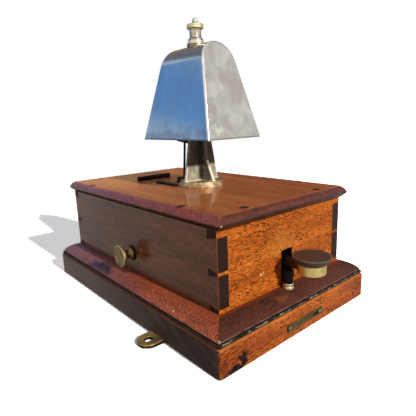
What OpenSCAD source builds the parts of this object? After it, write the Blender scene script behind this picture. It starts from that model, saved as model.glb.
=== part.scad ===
// Railway block bell: a wooden instrument case with a cow-bell gong on a brass pillar.
// X runs along the case towards the tapper, Y across it, Z up. The origin is on the floor,
// under the middle of the base.

/* [Base] */
// Length of the base block
base_l = 304.8; // [296:0.4:330]
// Width of the base block
base_w = 204.4; // [198:0.4:224]
// Height of the base block's upright face
block_h = 24.4; // [20:0.2:32]
// Radius of the base block's upright corners
block_corner_r = 3; // [1:0.5:5]
// Height of the moulded board that lies on the block
board_h = 14.2; // [12:0.2:18]
// Step from the block's face in to the board's edge
board_step = 2.4; // [1:0.2:4]
// Height of the board's upright edge below its moulding
board_edge_h = 4.4; // [2:0.2:7]
// How far the board's moulding bows out from a straight slope
board_bow = 1.8; // [0.6:0.1:2.4]
// Flat ledge of the board around the case
board_ledge = 1.4; // [0.5:0.1:3]

/* [Fixing lugs] */
// Distance of each lug from the middle of the base, along its length
lug_x = 70.5; // [50:0.5:110]
// Width of a lug
lug_w = 21; // [18:0.5:30]
// Thickness of a lug
lug_t = 3; // [2:0.2:4]
// Distance of a lug's hole from the block's face
lug_reach = 9; // [8:0.2:14]
// Radius of a lug's hole
lug_hole_r = 3.6; // [3:0.1:5]
// Length of a lug under the block
lug_tail = 28; // [24:1:36]

/* [Label] */
// Length of the label strip
label_l = 51; // [40:1:70]
// Height of the label strip
label_h = 7; // [6:0.5:12]
// Thickness of the label strip
label_t = 0.8; // [0.5:0.1:1.5]
// Height of the label's middle over the floor
label_z = 10.8; // [7:0.2:14]
// Distance of the label's middle from the centre line
label_y = 1; // [-10:0.5:10]

/* [Case] */
// Length of the case outside
case_l = 264.8; // [256:0.4:280]
// Width of the case outside
case_w = 166.2; // [158:0.4:180]
// Height of the case's panels
case_h = 68.2; // [64:0.2:80]
// Thickness of the case's panels
panel_t = 11.3; // [9:0.1:13]
// Width of a dovetail's middle pin on the end panel's face
pin_w = 2.7; // [2:0.1:5]
// Height of the half pin below the tails
half_pin = 3.8; // [3:0.1:6]
// Height of the half pin above the tails
top_pin = 6.2; // [4:0.1:8]
// Flare of each side of a dovetail
tail_flare = 2.2; // [1:0.1:3]
// Side of the battens that locate the case on its base
batten_w = 8; // [6:0.5:10]
// Length of each batten
batten_l = 50; // [30:1:56]

/* [Top] */
// Overhang of the top board at the case's ends
lid_over_l = 7.4; // [5:0.1:10]
// Overhang of the top board at the case's long sides
lid_over_w = 3.1; // [2:0.1:8]
// Thickness of the top board
lid_h = 11.2; // [10.5:0.1:14]
// Width of the moulded slope round the top board
lid_slope = 5; // [4:0.1:5.3]
// Height of the moulded slope
lid_drop = 6.2; // [5:0.1:6.6]
// How far the moulded slope bows out
lid_bow = 0.8; // [0.3:0.1:1.2]
// Height of the nose below the slope
lid_nose = 0.7; // [0.4:0.1:1.2]
// How far the top board is cut back below its nose
lid_under = 4.4; // [3:0.1:4.6]
// Distance of the long sides' top screws from the middle
top_screw_x = 85; // [60:1:100]
// Distance of the end panels' top screws from the middle
top_screw_y = 49; // [30:0.5:60]
// Distance of the top screws from the panels' outer faces
top_screw_in = 4.2; // [3.6:0.1:7]
// Radius of a top screw's head
top_screw_head_r = 3.4; // [2.6:0.1:4]

/* [Black strips] */
// Width of each black strip on the top
strip_w = 4; // [3:0.1:6]
// Length of the cross strip
strip_cross_l = 46; // [30:0.5:50]
// Height of the cross strip
strip_cross_h = 5; // [2:0.1:6]
// Distance of the cross strip behind the pillar
strip_cross_back = 83.6; // [76:0.2:90]
// Middle of the cross strip, from the centre line
strip_cross_y = -7; // [-20:0.5:10]
// Length of the long strip
strip_long_l = 37; // [28:0.5:44]
// Height of the long strip
strip_long_h = 2.8; // [2:0.1:4]
// Distance of the long strip from the centre line
strip_long_y = 22.8; // [20:0.1:24.5]
// Gap between the long strip and the pillar's flange
strip_long_gap = 1.1; // [0.8:0.1:4]

/* [Pillar] */
// Distance of the pillar from the middle of the case, towards the tapper
pillar_x = 16.6; // [5:0.2:30]
// Radius of the pillar's flange
flange_r = 24.5; // [24:0.1:28]
// Thickness of the pillar's flange
flange_h = 3; // [2:0.1:4]
// Radius of the raised foot on the flange
pillar_foot_r = 22.8; // [22.6:0.1:23.6]
// Height of the raised foot over the top board
pillar_foot_h = 6; // [5:0.1:8]
// Thickness of the pillar's webs
web_t = 3.2; // [2.5:0.1:5]
// Half-length of the cross webs at the foot
web_y_foot = 22.5; // [20:0.1:22.6]
// Half-length of the cross webs at the bell's rim
web_y_rim = 14.6; // [11:0.1:17]
// Half-length of the lengthwise webs at the foot
web_x_foot = 21.2; // [18:0.1:22.6]
// Half-length of the lengthwise webs above their knee
web_x_knee = 10.4; // [9:0.1:13]
// Height of that knee over the top board
web_knee_h = 30; // [20:0.5:38]
// Radius of the boss at the pillar's top
pillar_boss_r = 7.5; // [6.5:0.1:8.5]
// Radius of the circle of the flange's screws
flange_screw_circle = 18.4; // [16:0.1:20]
// Radius of a flange screw's head
flange_screw_head_r = 3.2; // [2.6:0.1:3.6]
// Depth of a flange screw in the top board
flange_screw_bite = 10.5; // [8:0.5:11]

/* [Bell] */
// Height of the bell's rim over the top board
rim_lift = 50.1; // [44:0.1:60]
// Height of the bell from rim to crown
bell_h = 91.5; // [80:0.1:110]
// Length of the bell at its rim
bell_l = 109.6; // [102:0.2:116]
// Length of the bell at its crown
bell_top_l = 60; // [50:0.2:72]
// Width of the bell at its rim
bell_w = 70.2; // [66:0.2:80]
// Radius of the bell's crown
crown_r = 21.8; // [18:0.1:24]
// Thickness of the bell's wall
bell_t = 3.5; // [2.5:0.1:5]
// Radius of the flat seats on the crown
seat_r = 9; // [8.5:0.1:10]
// Height of the outer seat above the crown
seat_up = 1.5; // [1:0.1:3]
// Depth of the inner seat below the crown's inside
seat_down = 2.5; // [2:0.1:4]

/* [Finial] */
// Radius of the stud that holds the bell
stud_r = 3; // [2:0.1:4]
// Length of the stud above the nut
stud_out = 6; // [3:0.1:10]
// Thickness of the washer on the crown
washer_t = 1.4; // [0.8:0.1:2.5]
// Radius of the column's foot
column_foot_r = 8; // [7:0.1:9]
// Radius of the column's neck
column_neck_r = 5.85; // [5:0.05:6.8]
// Height of the column
column_h = 12.6; // [10:0.1:18]
// Radius of the round nut
nut_r = 8.4; // [7:0.1:10]
// Thickness of the round nut
nut_h = 4.6; // [3:0.1:7]

/* [Hammer] */
// Depth of the hammer's pivot below the top board
hammer_drop = 13.4; // [12.5:0.1:16]
// Angle through which the hammer swings
hammer_throw = 6.2; // [5:0.1:7]
// Radius of the hammer's head
head_r = 8; // [6:0.1:9]
// Length of the hammer's head behind its rod
head_tail = 10; // [7:0.1:13]
// Height of the head's axis over the bell's rim
head_lift = 3.2; // [1:0.1:8]
// Radius of the hammer's rod
rod_r = 1.3; // [1:0.05:2]
// Gap between the hammer's boss and the pillar's flange at rest
boss_gap = 1.5; // [1:0.1:4]
// Reach of the boss in front of the rod
boss_front = 5; // [3.5:0.1:6]
// Reach of the boss behind the rod
boss_back = 8.5; // [5:0.1:10]
// Width of the boss
boss_w = 8; // [6:0.1:10]
// Height of the boss above the top board
boss_up = 5; // [3:0.1:8]

/* [Electromagnet] */
// Distance of the cores behind the hammer's pivot
core_back = 44; // [40:0.5:52]
// Distance of each core from the centre line
core_y = 20; // [18:0.5:26]
// Radius of a core
core_r = 6; // [5:0.1:7]
// Radius of a bobbin's flanges
bobbin_r = 16; // [14:0.1:17.5]
// Thickness of a bobbin's flanges
bobbin_flange_t = 2.5; // [1.5:0.1:4]
// Thickness of the yoke
yoke_h = 8; // [6:0.1:12]
// Gap between the armature and the poles when the hammer strikes
pole_gap = 0.5; // [0.4:0.1:1.5]
// Thickness of the armature
armature_t = 5; // [4:0.1:7]
// Width of the armature along the case
armature_w = 14; // [12:0.1:18]

/* [Tapper] */
// Distance of the knob's axis beyond the end panel
tapper_reach = 26.3; // [24:0.1:32]
// Distance from the tapper's pivot to the knob's axis
tapper_arm = 73.7; // [66:0.1:82]
// Angle through which the tapper is pressed
tapper_throw = 2.6; // [1.5:0.1:3.5]
// Height of the lever's underside over the case's floor
lever_lift = 18.9; // [16:0.1:22]
// Width of the lever
lever_w = 9; // [7:0.1:11]
// Depth of the lever
lever_d = 7.5; // [6:0.1:7.8]
// Length of the lever behind its pivot
lever_tail = 27; // [24:0.1:34]
// Radius of the lever's round end
ferrule_r = 12.2; // [10:0.1:13]
// Height of the lever's round end
ferrule_h = 8.4; // [8:0.1:10]
// Radius of the tapper's knob
knob_r = 16.4; // [14:0.1:20]
// Height of the tapper's knob
knob_h = 6.7; // [6:0.1:10]
// Width of the slot in the end panel
slot_w = 15; // [13:0.1:20]
// Height of the slot in the end panel
slot_h = 33.4; // [30:0.1:40]
// Radius of the stop post
post_r = 4.6; // [3:0.1:4.8]
// Radius of the stop post's collar
post_collar_r = 5.6; // [5.2:0.1:5.6]
// Height of the stop post's collar
post_collar_h = 4.4; // [3:0.1:6]
// Distance of the stop post from the centre line
post_y = -4.4; // [-4.5:0.1:4.5]
// Distance of the stop post's axis from the end panel's face
post_out = 4.9; // [4.9:0.1:8]
// Depth of the stop post's level seat in the moulding
post_sink = 5.4; // [5:0.1:7]

/* [Case catch] */
// Distance of the catch from the middle of the case
catch_x = 2.2; // [-20:0.2:14]
// Height of the catch over the case's floor
catch_lift = 19.7; // [19.4:0.1:26]
// Radius of the catch's spindle
spindle_r = 3; // [2:0.1:4]
// Radius of the catch's collar
catch_collar_r = 8; // [6.5:0.1:10]
// Thickness of the catch's collar
catch_collar_t = 1.4; // [1:0.1:3]
// Radius of the turn knob
turn_knob_r = 11; // [10:0.1:14]
// Length of the turn knob from its collar to its face
turn_knob_l = 13.6; // [12:0.1:16]
// Length of the catch's tongue
tongue_l = 17; // [15:0.1:18]

/* [Pivots] */
// Radius of the hammer's and the tapper's pivot pins
pin_r = 2.5; // [2:0.1:3]
// Radius of the pivot hubs
hub_r = 6; // [5:0.1:7]
// Thickness of the pivot brackets' ears
ear_t = 4; // [3:0.1:5]
// Thickness of the pivot brackets' feet
foot_t = 4; // [3:0.1:5]

/* [Wire inlet] */
// Radius of the bush's bore
inlet_r = 5; // [3:0.1:7]
// Height of the bush over the case's floor
inlet_lift = 41.4; // [36:0.1:48]

/* [Hidden] */
$fn = 48;
arc_steps = 12;
crown_steps = 32;

// Clearances: pins and screws in their holes, moving pieces at a stop, laid-in pieces
fit_gap = 0.05;
stop_gap = 0.3;
lay_gap = 0.1;
// Overshoot of a cut past a face
past = 1;
// Width and depth of the slots in screw heads
slot_cut_w = 0.9;
slot_cut_d = 0.8;
// How far a screw head is sunk
head_sink = 0.2;

// Heights, from the floor up
z_floor = block_h + board_h;
z_lid = z_floor + case_h;
z_deck = z_lid + lid_h;
z_rim = z_deck + rim_lift;
z_crown = z_rim + bell_h;
z_seat = z_crown + seat_up;
z_column = z_seat + washer_t;
z_nut = z_column + column_h;
z_stud_top = z_nut + nut_h + stud_out;
cushion_t = 1.5;
z_cushion = z_crown - bell_t - seat_down - cushion_t;
stud_depth = 18;

// The bell's outline: straight flanks that run tangent into a round crown
arch_c = bell_h - crown_r;
arch_lean = atan2(-arch_c, bell_w / 2) + acos(crown_r / norm([arch_c, bell_w / 2]));
end_run = (bell_l - bell_top_l) / 2;
end_lean = atan2(end_run, bell_h);

// The hammer: upright when it strikes, turned by its throw at rest
pivot_z = z_lid - hammer_drop;
boss_top = z_deck + boss_up - pivot_z;
boss_foot = hub_r + 3;
pivot_x = pillar_x - flange_r - boss_gap - boss_front * cos(hammer_throw) - boss_top * sin(hammer_throw);
hammer_l = z_rim + head_lift - pivot_z;
strike_gap = 0.4;
wall_x = pillar_x - bell_end(head_lift, bell_t);
strike_x = wall_x + (head_r + strike_gap) / cos(end_lean) - pivot_x;
rod_foot = 4;
arm_w = 10;
arm_h = 5;
hub_half = arm_w / 2 + 2.3;
ear_gap = 0.3;
tail_w = 8;
foot_l = 2 * hub_r + 12;
foot_out = 8;
rest_post_r = 4;
rest_foot_r = 4.8;
spring_anchor_r = 3.4;
rest_stop_arm = foot_l / 2 + rest_foot_r + 0.7;
spring_arm = rest_stop_arm + rest_foot_r + spring_anchor_r + 1;
hammer_tail = spring_arm + 4;
slot_half_w = boss_w / 2 + 1.5;
slot_back = pivot_x - boss_back - 1;
slot_front = pivot_x + boss_front + boss_top * sin(hammer_throw) + 0.8;

// The electromagnet under the armature
core_x = pivot_x - core_back;
pole_z = pivot_z - arm_h / 2 - armature_t - pole_gap;
yoke_w = 14;
yoke_l = 2 * (core_y + core_r + 3);
armature_l = 2 * (core_y + core_r + 4);
bobbin_wall = 1.2;
bobbin_top = pole_z - 2;

// The tapper
tapper_x = case_l / 2 + tapper_reach - tapper_arm;
lever_z = z_floor + lever_lift;
tapper_z = lever_z + lever_d / 2;
tapper_hub_half = lever_w / 2 + 1.5;
knob_x = case_l / 2 + tapper_reach;
ferrule_drop = 0.4;
knob_z = lever_z - ferrule_drop + ferrule_h;
post_x = case_l / 2 + post_out;
post_seat = z_floor - post_sink;
post_top = lever_z - (post_x + post_r - tapper_x) * sin(tapper_throw) - stop_gap;
contact_r = 3.5;
front_contact_arm = 28;
front_contact_x = tapper_x + front_contact_arm;
front_contact_top = lever_z - (front_contact_arm + contact_r) * sin(tapper_throw) - stop_gap;
back_contact_x = tapper_x - lever_tail + contact_r + 1;
tapper_spring_arm = 17;
tapper_spring_x = tapper_x + tapper_spring_arm;

// The catch
catch_z = z_floor + catch_lift;
panel_y = case_w / 2;
tongue_t = 3;
tongue_w = 9;
tongue_y = -panel_y + panel_t + 1.5;
spindle_in = tongue_y + tongue_t + 2;

// The terminals
terminal_strip_w = 18;
terminal_strip_h = 8;
terminal_pitch = 22;
terminal_count = 4;
terminal_x = -case_l / 2 + panel_t + 3 + terminal_strip_w / 2;
terminal_foot = [5, 3];
terminal_stem = [2, 12];
terminal_nut = [4.5, 5];

// The base's mouldings
board_l = base_l - 2 * board_step;
board_w = base_w - 2 * board_step;
lid_l = case_l + 2 * lid_over_l;
lid_w = case_w + 2 * lid_over_w;

// Screws: shank radius, head radius and length
lug_screw = [2, 4, 16];
label_screw = [0.9, 1.9, 7];
top_screw = [1.7, top_screw_head_r, 30];
flange_screw = [1.7, flange_screw_head_r, pillar_foot_h + flange_screw_bite];
foot_screw = [1.6, 3, 13];
yoke_screw = [1.6, 3, 18];
small_screw = [1.2, 2.3, 8];
knob_screw_size = [2, 3.8, 12];

WOOD = "#8a4a22";
DARK_WOOD = "#5e2a1c";
BRASS = "#b8923e";
BELL_METAL = "#b9b4aa";
STEEL = "#8f9296";
BLACK = "#22211f";
IRON = "#4d4c4a";
EBONITE = "#3b2f2a";
SILK = "#3f5a3a";

// Half-length of the bell at a height over its rim, inset by a wall
function bell_end(h, inset) = bell_l / 2 - end_run * h / bell_h - inset / cos(end_lean);

// Half-width of the bell's straight flanks at a height over its rim, inset by a wall
function flank(h, inset) = (crown_r - inset) / cos(arch_lean) + (arch_c - h) * tan(arch_lean);

// Points on a circular arc about c, from angle a0 to a1
function turn(c, r, a0, a1, steps) =
    [for (i = [0:steps]) let (a = a0 + (a1 - a0) * i / steps) c + r * [cos(a), sin(a)]];

// Points on a circular arc from p to q that stands off its chord by rise, on the left hand
function bow(p, q, rise, steps) =
    let (half = norm(q - p) / 2)
    let (r = (half * half + rise * rise) / (2 * rise))
    let (along = (q - p) / (2 * half))
    let (off = [-along[1], along[0]])
    let (c = (p + q) / 2 + off * (rise - r))
    let (a = asin(half / r))
    [for (i = [0:steps]) let (t = a * (1 - 2 * i / steps)) c + r * (cos(t) * off - sin(t) * along)];

// The top board's outline at its right edge: a bowed slope, a nose and a cut back below it
function lid_edge(half) =
    let (nose = [half, z_deck - lid_drop])
    concat(
        bow([half - lid_slope, z_deck], nose, lid_bow, arc_steps),
        [nose - [0, lid_nose], [half - lid_under, z_lid]]
    );

// An outline given on its right side, completed by its mirror image
function both_sides(pts) = concat(pts, [for (i = [len(pts) - 1:-1:0]) [-pts[i][0], pts[i][1]]]);

// A slab whose edge outlines along X and along Y meet in mitred corners
module mitred_slab(outline_l, outline_w, l, w) {
    intersection() {
        rotate([90, 0, 0])
            linear_extrude(w + 2 * past, center = true)
                polygon(outline_l);
        rotate([90, 0, 90])
            linear_extrude(l + 2 * past, center = true)
                polygon(outline_w);
    }
}

// A countersunk screw that points down from its head's face; grow widens it to make its hole
module screw(size, grow = 0) {
    shank_r = size[0];
    head_r = size[1];
    cone_h = head_r - shank_r;
    difference() {
        union() {
            translate([0, 0, -cone_h])
                cylinder(h = cone_h, r1 = shank_r + grow, r2 = head_r + grow);
            translate([0, 0, -size[2] - grow])
                cylinder(h = size[2] + grow - cone_h / 2, r = shank_r + grow);
            if (grow > 0)
                cylinder(h = past, r = head_r + grow);
        }
        if (grow == 0)
            translate([-head_r, -slot_cut_w / 2, -slot_cut_d])
                cube([2 * head_r, slot_cut_w, slot_cut_d + past]);
    }
}

// A round wire wound up in a helix of mean radius r, with its ends cut square
module coil_wire(r, wire_r, turns, h) {
    rings = turns * 12;
    sides = 6;
    points = [
        for (i = [0:rings], k = [0:sides - 1])
            let (a = 360 * turns * i / rings)
            let (b = 360 * k / sides)
            let (out = r + wire_r * cos(b))
            [out * cos(a), out * sin(a), wire_r + (h - 2 * wire_r) * i / rings + wire_r * sin(b)]
    ];
    walls = [
        for (i = [0:rings - 1], k = [0:sides - 1], half = [0, 1])
            let (a = i * sides + k)
            let (b = i * sides + (k + 1) % sides)
            half == 0 ? [a, b, b + sides] : [a, b + sides, a + sides]
    ];
    last = rings * sides;
    start = [for (k = [1:sides - 2]) [0, k + 1, k]];
    end = [for (k = [1:sides - 2]) [last, last + k, last + k + 1]];
    polyhedron(points, concat(walls, start, end));
}

// A bracket with a foot on the floor and two ears that carry a pivot pin
module pivot_bracket(x, z, half) {
    ear_w = 2 * hub_r;
    foot_w = 2 * (half + ear_gap + ear_t + foot_out);
    translate([x, 0, 0])
        difference() {
            union() {
                translate([-foot_l / 2, -foot_w / 2, z_floor])
                    cube([foot_l, foot_w, foot_t]);
                for (side = [-1, 1])
                    translate([0, side * (half + ear_gap + ear_t / 2), 0]) {
                        translate([-ear_w / 2, -ear_t / 2, z_floor])
                            cube([ear_w, ear_t, z - z_floor]);
                        translate([0, 0, z])
                            rotate([90, 0, 0])
                                cylinder(h = ear_t, r = hub_r, center = true);
                    }
            }
            translate([0, 0, z])
                rotate([90, 0, 0])
                    cylinder(h = foot_w, r = pin_r + fit_gap, center = true);
            bracket_screw_set(half, fit_gap);
        }
}

// The two screws that hold a pivot bracket's foot
module bracket_screw_set(half, grow = 0) {
    for (side = [-1, 1])
        translate([0, side * (half + ear_gap + ear_t + foot_out / 2), z_floor + foot_t - head_sink])
            screw(foot_screw, grow);
}

// A pivot pin that reaches through both ears
module pivot_pin(x, z, half) {
    translate([x, 0, z])
        rotate([90, 0, 0])
            cylinder(h = 2 * (half + ear_gap + ear_t + 1), r = pin_r, center = true);
}

// The four corners of the case, as signs along X and Y
corners = [for (sx = [-1, 1], sy = [-1, 1]) [sx, sy]];

module lug_screw_set(grow = 0) {
    for (side = [-1, 1], step = [9, 20])
        translate([-side * lug_x, side * (base_w / 2 - step), head_sink])
            rotate([180, 0, 0])
                screw(lug_screw, grow);
}

module label_screw_set(grow = 0) {
    for (side = [-1, 1])
        translate([base_l / 2 + label_t - head_sink / 2, label_y + side * (label_l / 2 - 3.5), label_z])
            rotate([0, 90, 0])
                screw(label_screw, grow);
}

module top_screw_set(grow = 0) {
    for (c = corners) {
        translate([c[0] * top_screw_x, c[1] * (case_w / 2 - top_screw_in), z_deck - head_sink])
            rotate([0, 0, 25])
                screw(top_screw, grow);
        translate([c[0] * (case_l / 2 - top_screw_in), c[1] * top_screw_y, z_deck - head_sink])
            rotate([0, 0, 70])
                screw(top_screw, grow);
    }
}

module flange_screw_set(grow = 0) {
    for (i = [0:3])
        translate([pillar_x, 0, z_deck + pillar_foot_h - head_sink])
            rotate([0, 0, 45 + 90 * i])
                translate([flange_screw_circle, 0, 0])
                    screw(flange_screw, grow);
}

module yoke_screw_set(grow = 0) {
    for (side = [-1, 1])
        translate([core_x, side * (core_y - core_r) / 2, z_floor + yoke_h - head_sink])
            screw(yoke_screw, grow);
}

// One lug's plate as seen from below: a round end with a straight tail
module lug_shape(grow = 0) {
    translate([0, base_w / 2 + lug_reach, 0])
        circle(r = lug_w / 2 + grow);
    translate([-lug_w / 2 - grow, base_w / 2 - lug_tail - grow])
        square([lug_w + 2 * grow, lug_tail + lug_reach + grow]);
}

module at_lugs() {
    for (side = [0, 1])
        rotate([0, 0, 180 * side])
            translate([-lug_x, 0, 0])
                children();
}

module base_block() {
    color(WOOD)
        difference() {
            union() {
                translate([-base_l / 2 + block_corner_r, -base_w / 2, 0])
                    cube([base_l - 2 * block_corner_r, base_w, block_h]);
                translate([-base_l / 2, -base_w / 2 + block_corner_r, 0])
                    cube([base_l, base_w - 2 * block_corner_r, block_h]);
                for (c = corners)
                    translate([c[0] * (base_l / 2 - block_corner_r), c[1] * (base_w / 2 - block_corner_r), 0])
                        cylinder(h = block_h, r = block_corner_r);
            }
            at_lugs()
                translate([0, 0, -past])
                    linear_extrude(lug_t + past)
                        lug_shape(lay_gap);
            lug_screw_set(fit_gap);
            label_screw_set(fit_gap);
        }
}

module base_board() {
    edge_z = block_h + board_edge_h;
    outline_l = concat(
        bow([case_l / 2 + board_ledge, z_floor], [board_l / 2, edge_z], board_bow, arc_steps),
        [[board_l / 2, block_h]]
    );
    outline_w = concat(
        bow([case_w / 2 + board_ledge, z_floor], [board_w / 2, edge_z], board_bow, arc_steps),
        [[board_w / 2, block_h]]
    );
    color(DARK_WOOD)
        difference() {
            mitred_slab(both_sides(outline_l), both_sides(outline_w), board_l, board_w);
            translate([pivot_x, 0, 0])
                bracket_screw_set(hub_half, fit_gap);
            translate([tapper_x, 0, 0])
                bracket_screw_set(tapper_hub_half, fit_gap);
            yoke_screw_set(fit_gap);
            translate([post_x, post_y, post_seat])
                cylinder(h = board_h, r = post_collar_r + lay_gap);
        }
}

module fixing_lugs() {
    color(BRASS)
        difference() {
            at_lugs()
                linear_extrude(lug_t)
                    difference() {
                        lug_shape();
                        translate([0, base_w / 2 + lug_reach])
                            circle(r = lug_hole_r);
                    }
            lug_screw_set(fit_gap);
        }
}

module lug_screws() {
    color(STEEL)
        lug_screw_set();
}

module label_plate() {
    color(BRASS)
        difference() {
            translate([base_l / 2, label_y - label_l / 2, label_z - label_h / 2])
                cube([label_t, label_l, label_h]);
            label_screw_set(fit_gap);
        }
}

module label_screws() {
    color(BRASS)
        label_screw_set();
}

// The dovetail tails of one corner; they belong to the long side and are cut out of the end panel
module tails(sx, sy) {
    middle = (z_floor + half_pin + z_lid - top_pin) / 2;
    spans = [
        [z_floor + half_pin, middle - pin_w / 2],
        [middle + pin_w / 2, z_lid - top_pin]
    ];
    outer = case_l / 2;
    inner = outer - panel_t;
    translate([0, sy * (case_w - panel_t) / 2, 0])
        rotate([90, 0, 0])
            linear_extrude(panel_t, center = true)
                for (s = spans)
                    polygon([
                        [sx * outer, s[0]],
                        [sx * outer, s[1]],
                        [sx * inner, s[1] - tail_flare],
                        [sx * inner, s[0] + tail_flare]
                    ]);
}

module side_panel(sy) {
    color(WOOD)
        difference() {
            union() {
                translate([-case_l / 2 + panel_t, sy * (case_w - panel_t) / 2 - panel_t / 2, z_floor])
                    cube([case_l - 2 * panel_t, panel_t, case_h]);
                tails(-1, sy);
                tails(1, sy);
            }
            top_screw_set(fit_gap);
            if (sy < 0)
                translate([catch_x, -panel_y + panel_t / 2, catch_z])
                    rotate([90, 0, 0])
                        cylinder(h = panel_t + 2 * past, r = spindle_r + fit_gap, center = true);
        }
}

module end_panel(sx) {
    difference() {
        translate([sx * (case_l - panel_t) / 2 - panel_t / 2, -case_w / 2, z_floor])
            cube([panel_t, case_w, case_h]);
        tails(sx, -1);
        tails(sx, 1);
        top_screw_set(fit_gap);
    }
}

module side_panel_front() {
    side_panel(-1);
}

module side_panel_back() {
    side_panel(1);
}

module end_panel_tapper() {
    color(WOOD)
        difference() {
            end_panel(1);
            translate([case_l / 2 - panel_t - past, -slot_w / 2, z_floor - past])
                cube([panel_t + 2 * past, slot_w, slot_h + past]);
        }
}

module end_panel_rear() {
    color(WOOD)
        difference() {
            end_panel(-1);
            translate([-case_l / 2 + panel_t / 2, 0, z_floor + inlet_lift])
                rotate([0, 90, 0])
                    cylinder(h = panel_t + 2 * past, r = inlet_r + 2 + fit_gap, center = true);
        }
}

module wire_bush() {
    flange_t = 2;
    color(EBONITE)
        translate([-case_l / 2, 0, z_floor + inlet_lift])
            rotate([0, 90, 0])
                difference() {
                    union() {
                        cylinder(h = panel_t, r = inlet_r + 2);
                        translate([0, 0, -flange_t])
                            cylinder(h = flange_t, r = inlet_r + 4.5);
                    }
                    translate([0, 0, -flange_t - past])
                        cylinder(h = panel_t + flange_t + 2 * past, r = inlet_r);
                }
}

module locating_battens() {
    setback = 22;
    reach = case_l / 2 - panel_t - setback;
    color(WOOD)
        for (c = corners)
            translate([
                c[0] * (reach - batten_l / 2) - batten_l / 2,
                c[1] * (panel_y - panel_t - stop_gap - batten_w / 2) - batten_w / 2,
                z_floor
            ])
                cube([batten_l, batten_w, batten_w]);
}

module top_board() {
    color(WOOD)
        difference() {
            mitred_slab(both_sides(lid_edge(lid_l / 2)), both_sides(lid_edge(lid_w / 2)), lid_l, lid_w);
            translate([slot_back, -slot_half_w, z_lid - past])
                cube([slot_front - slot_back, 2 * slot_half_w, lid_h + 2 * past]);
            top_screw_set(fit_gap);
            flange_screw_set(fit_gap);
        }
}

module top_screws() {
    color(IRON)
        top_screw_set();
}

module top_strips() {
    flange_clear = flange_r + strip_long_gap;
    inner_y = strip_long_y - strip_w / 2;
    long_end = pillar_x - sqrt(max(0, flange_clear * flange_clear - inner_y * inner_y));
    color(BLACK) {
        translate([
            pillar_x - strip_cross_back - strip_w / 2,
            strip_cross_y - strip_cross_l / 2,
            z_deck
        ])
            cube([strip_w, strip_cross_l, strip_cross_h]);
        translate([long_end - strip_long_l, -strip_long_y - strip_w / 2, z_deck])
            cube([strip_long_l, strip_w, strip_long_h]);
    }
}

module bell_pillar() {
    top = z_cushion - z_deck;
    foot = pillar_foot_h;
    root = foot - past;
    cross_web = [[web_y_foot, root], [web_y_foot, foot], [web_y_rim, rim_lift], [pillar_boss_r, top]];
    long_web = [[web_x_foot, root], [web_x_foot, foot], [web_x_knee, web_knee_h], [pillar_boss_r, top]];
    color(BRASS)
        difference() {
            translate([pillar_x, 0, z_deck]) {
                cylinder(h = flange_h, r = flange_r);
                cylinder(h = foot, r = pillar_foot_r);
                rotate([90, 0, 0])
                    linear_extrude(web_t, center = true)
                        polygon(both_sides(long_web));
                rotate([90, 0, 90])
                    linear_extrude(web_t, center = true)
                        polygon(both_sides(cross_web));
                translate([0, 0, top - stud_depth - 4])
                    cylinder(h = stud_depth + 4, r = pillar_boss_r);
            }
            translate([pillar_x, 0, z_cushion - stud_depth])
                cylinder(h = stud_depth + past, r = stud_r + fit_gap);
            flange_screw_set(fit_gap);
        }
}

module flange_screws() {
    color(BRASS)
        flange_screw_set();
}

module cushion_washer() {
    color(EBONITE)
        translate([pillar_x, 0, z_cushion])
            difference() {
                cylinder(h = cushion_t, r = pillar_boss_r + 0.5);
                translate([0, 0, -past])
                    cylinder(h = cushion_t + 2 * past, r = stud_r + fit_gap);
            }
}

// The bell's body as a solid, inset by a wall, from a height foot over its rim
module bell_form(inset, foot) {
    arch = concat(
        [[flank(foot, inset), foot]],
        turn([0, arch_c], crown_r - inset, arch_lean, 180 - arch_lean, crown_steps),
        [[-flank(foot, inset), foot]]
    );
    ends = [[bell_end(foot, inset), foot], [bell_end(bell_h, inset), bell_h]];
    intersection() {
        rotate([90, 0, 90])
            linear_extrude(bell_l + 2 * past, center = true)
                polygon(arch);
        rotate([90, 0, 0])
            linear_extrude(bell_w + 2 * past, center = true)
                polygon(both_sides(ends));
    }
}

module bell() {
    color(BELL_METAL)
        translate([pillar_x, 0, z_rim])
            difference() {
                union() {
                    difference() {
                        bell_form(0, 0);
                        bell_form(bell_t, -past);
                    }
                    translate([0, 0, bell_h - bell_t - seat_down])
                        cylinder(h = bell_t + seat_down + seat_up, r = seat_r);
                }
                translate([0, 0, bell_h - bell_t - seat_down - past])
                    cylinder(h = bell_t + seat_down + seat_up + 2 * past, r = stud_r + fit_gap);
            }
}

module bell_stud() {
    chamfer = 1;
    foot = z_cushion - stud_depth + lay_gap;
    color(STEEL)
        translate([pillar_x, 0, 0]) {
            translate([0, 0, foot])
                cylinder(h = z_stud_top - chamfer - foot, r = stud_r);
            translate([0, 0, z_stud_top - chamfer])
                cylinder(h = chamfer, r1 = stud_r, r2 = stud_r - chamfer);
        }
}

module seat_washer() {
    color(STEEL)
        translate([pillar_x, 0, z_seat])
            difference() {
                cylinder(h = washer_t, r = column_foot_r + 0.7);
                translate([0, 0, -past])
                    cylinder(h = washer_t + 2 * past, r = stud_r + fit_gap);
            }
}

module finial_column() {
    foot_h = column_h * 0.24;
    flare_h = column_h * 0.14;
    bore = stud_r + fit_gap;
    color(BRASS)
        translate([pillar_x, 0, z_column])
            rotate_extrude()
                polygon([
                    [bore, 0],
                    [column_foot_r, 0],
                    [column_foot_r, foot_h],
                    [column_neck_r, foot_h + flare_h],
                    [column_neck_r, column_h],
                    [bore, column_h]
                ]);
}

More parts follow.
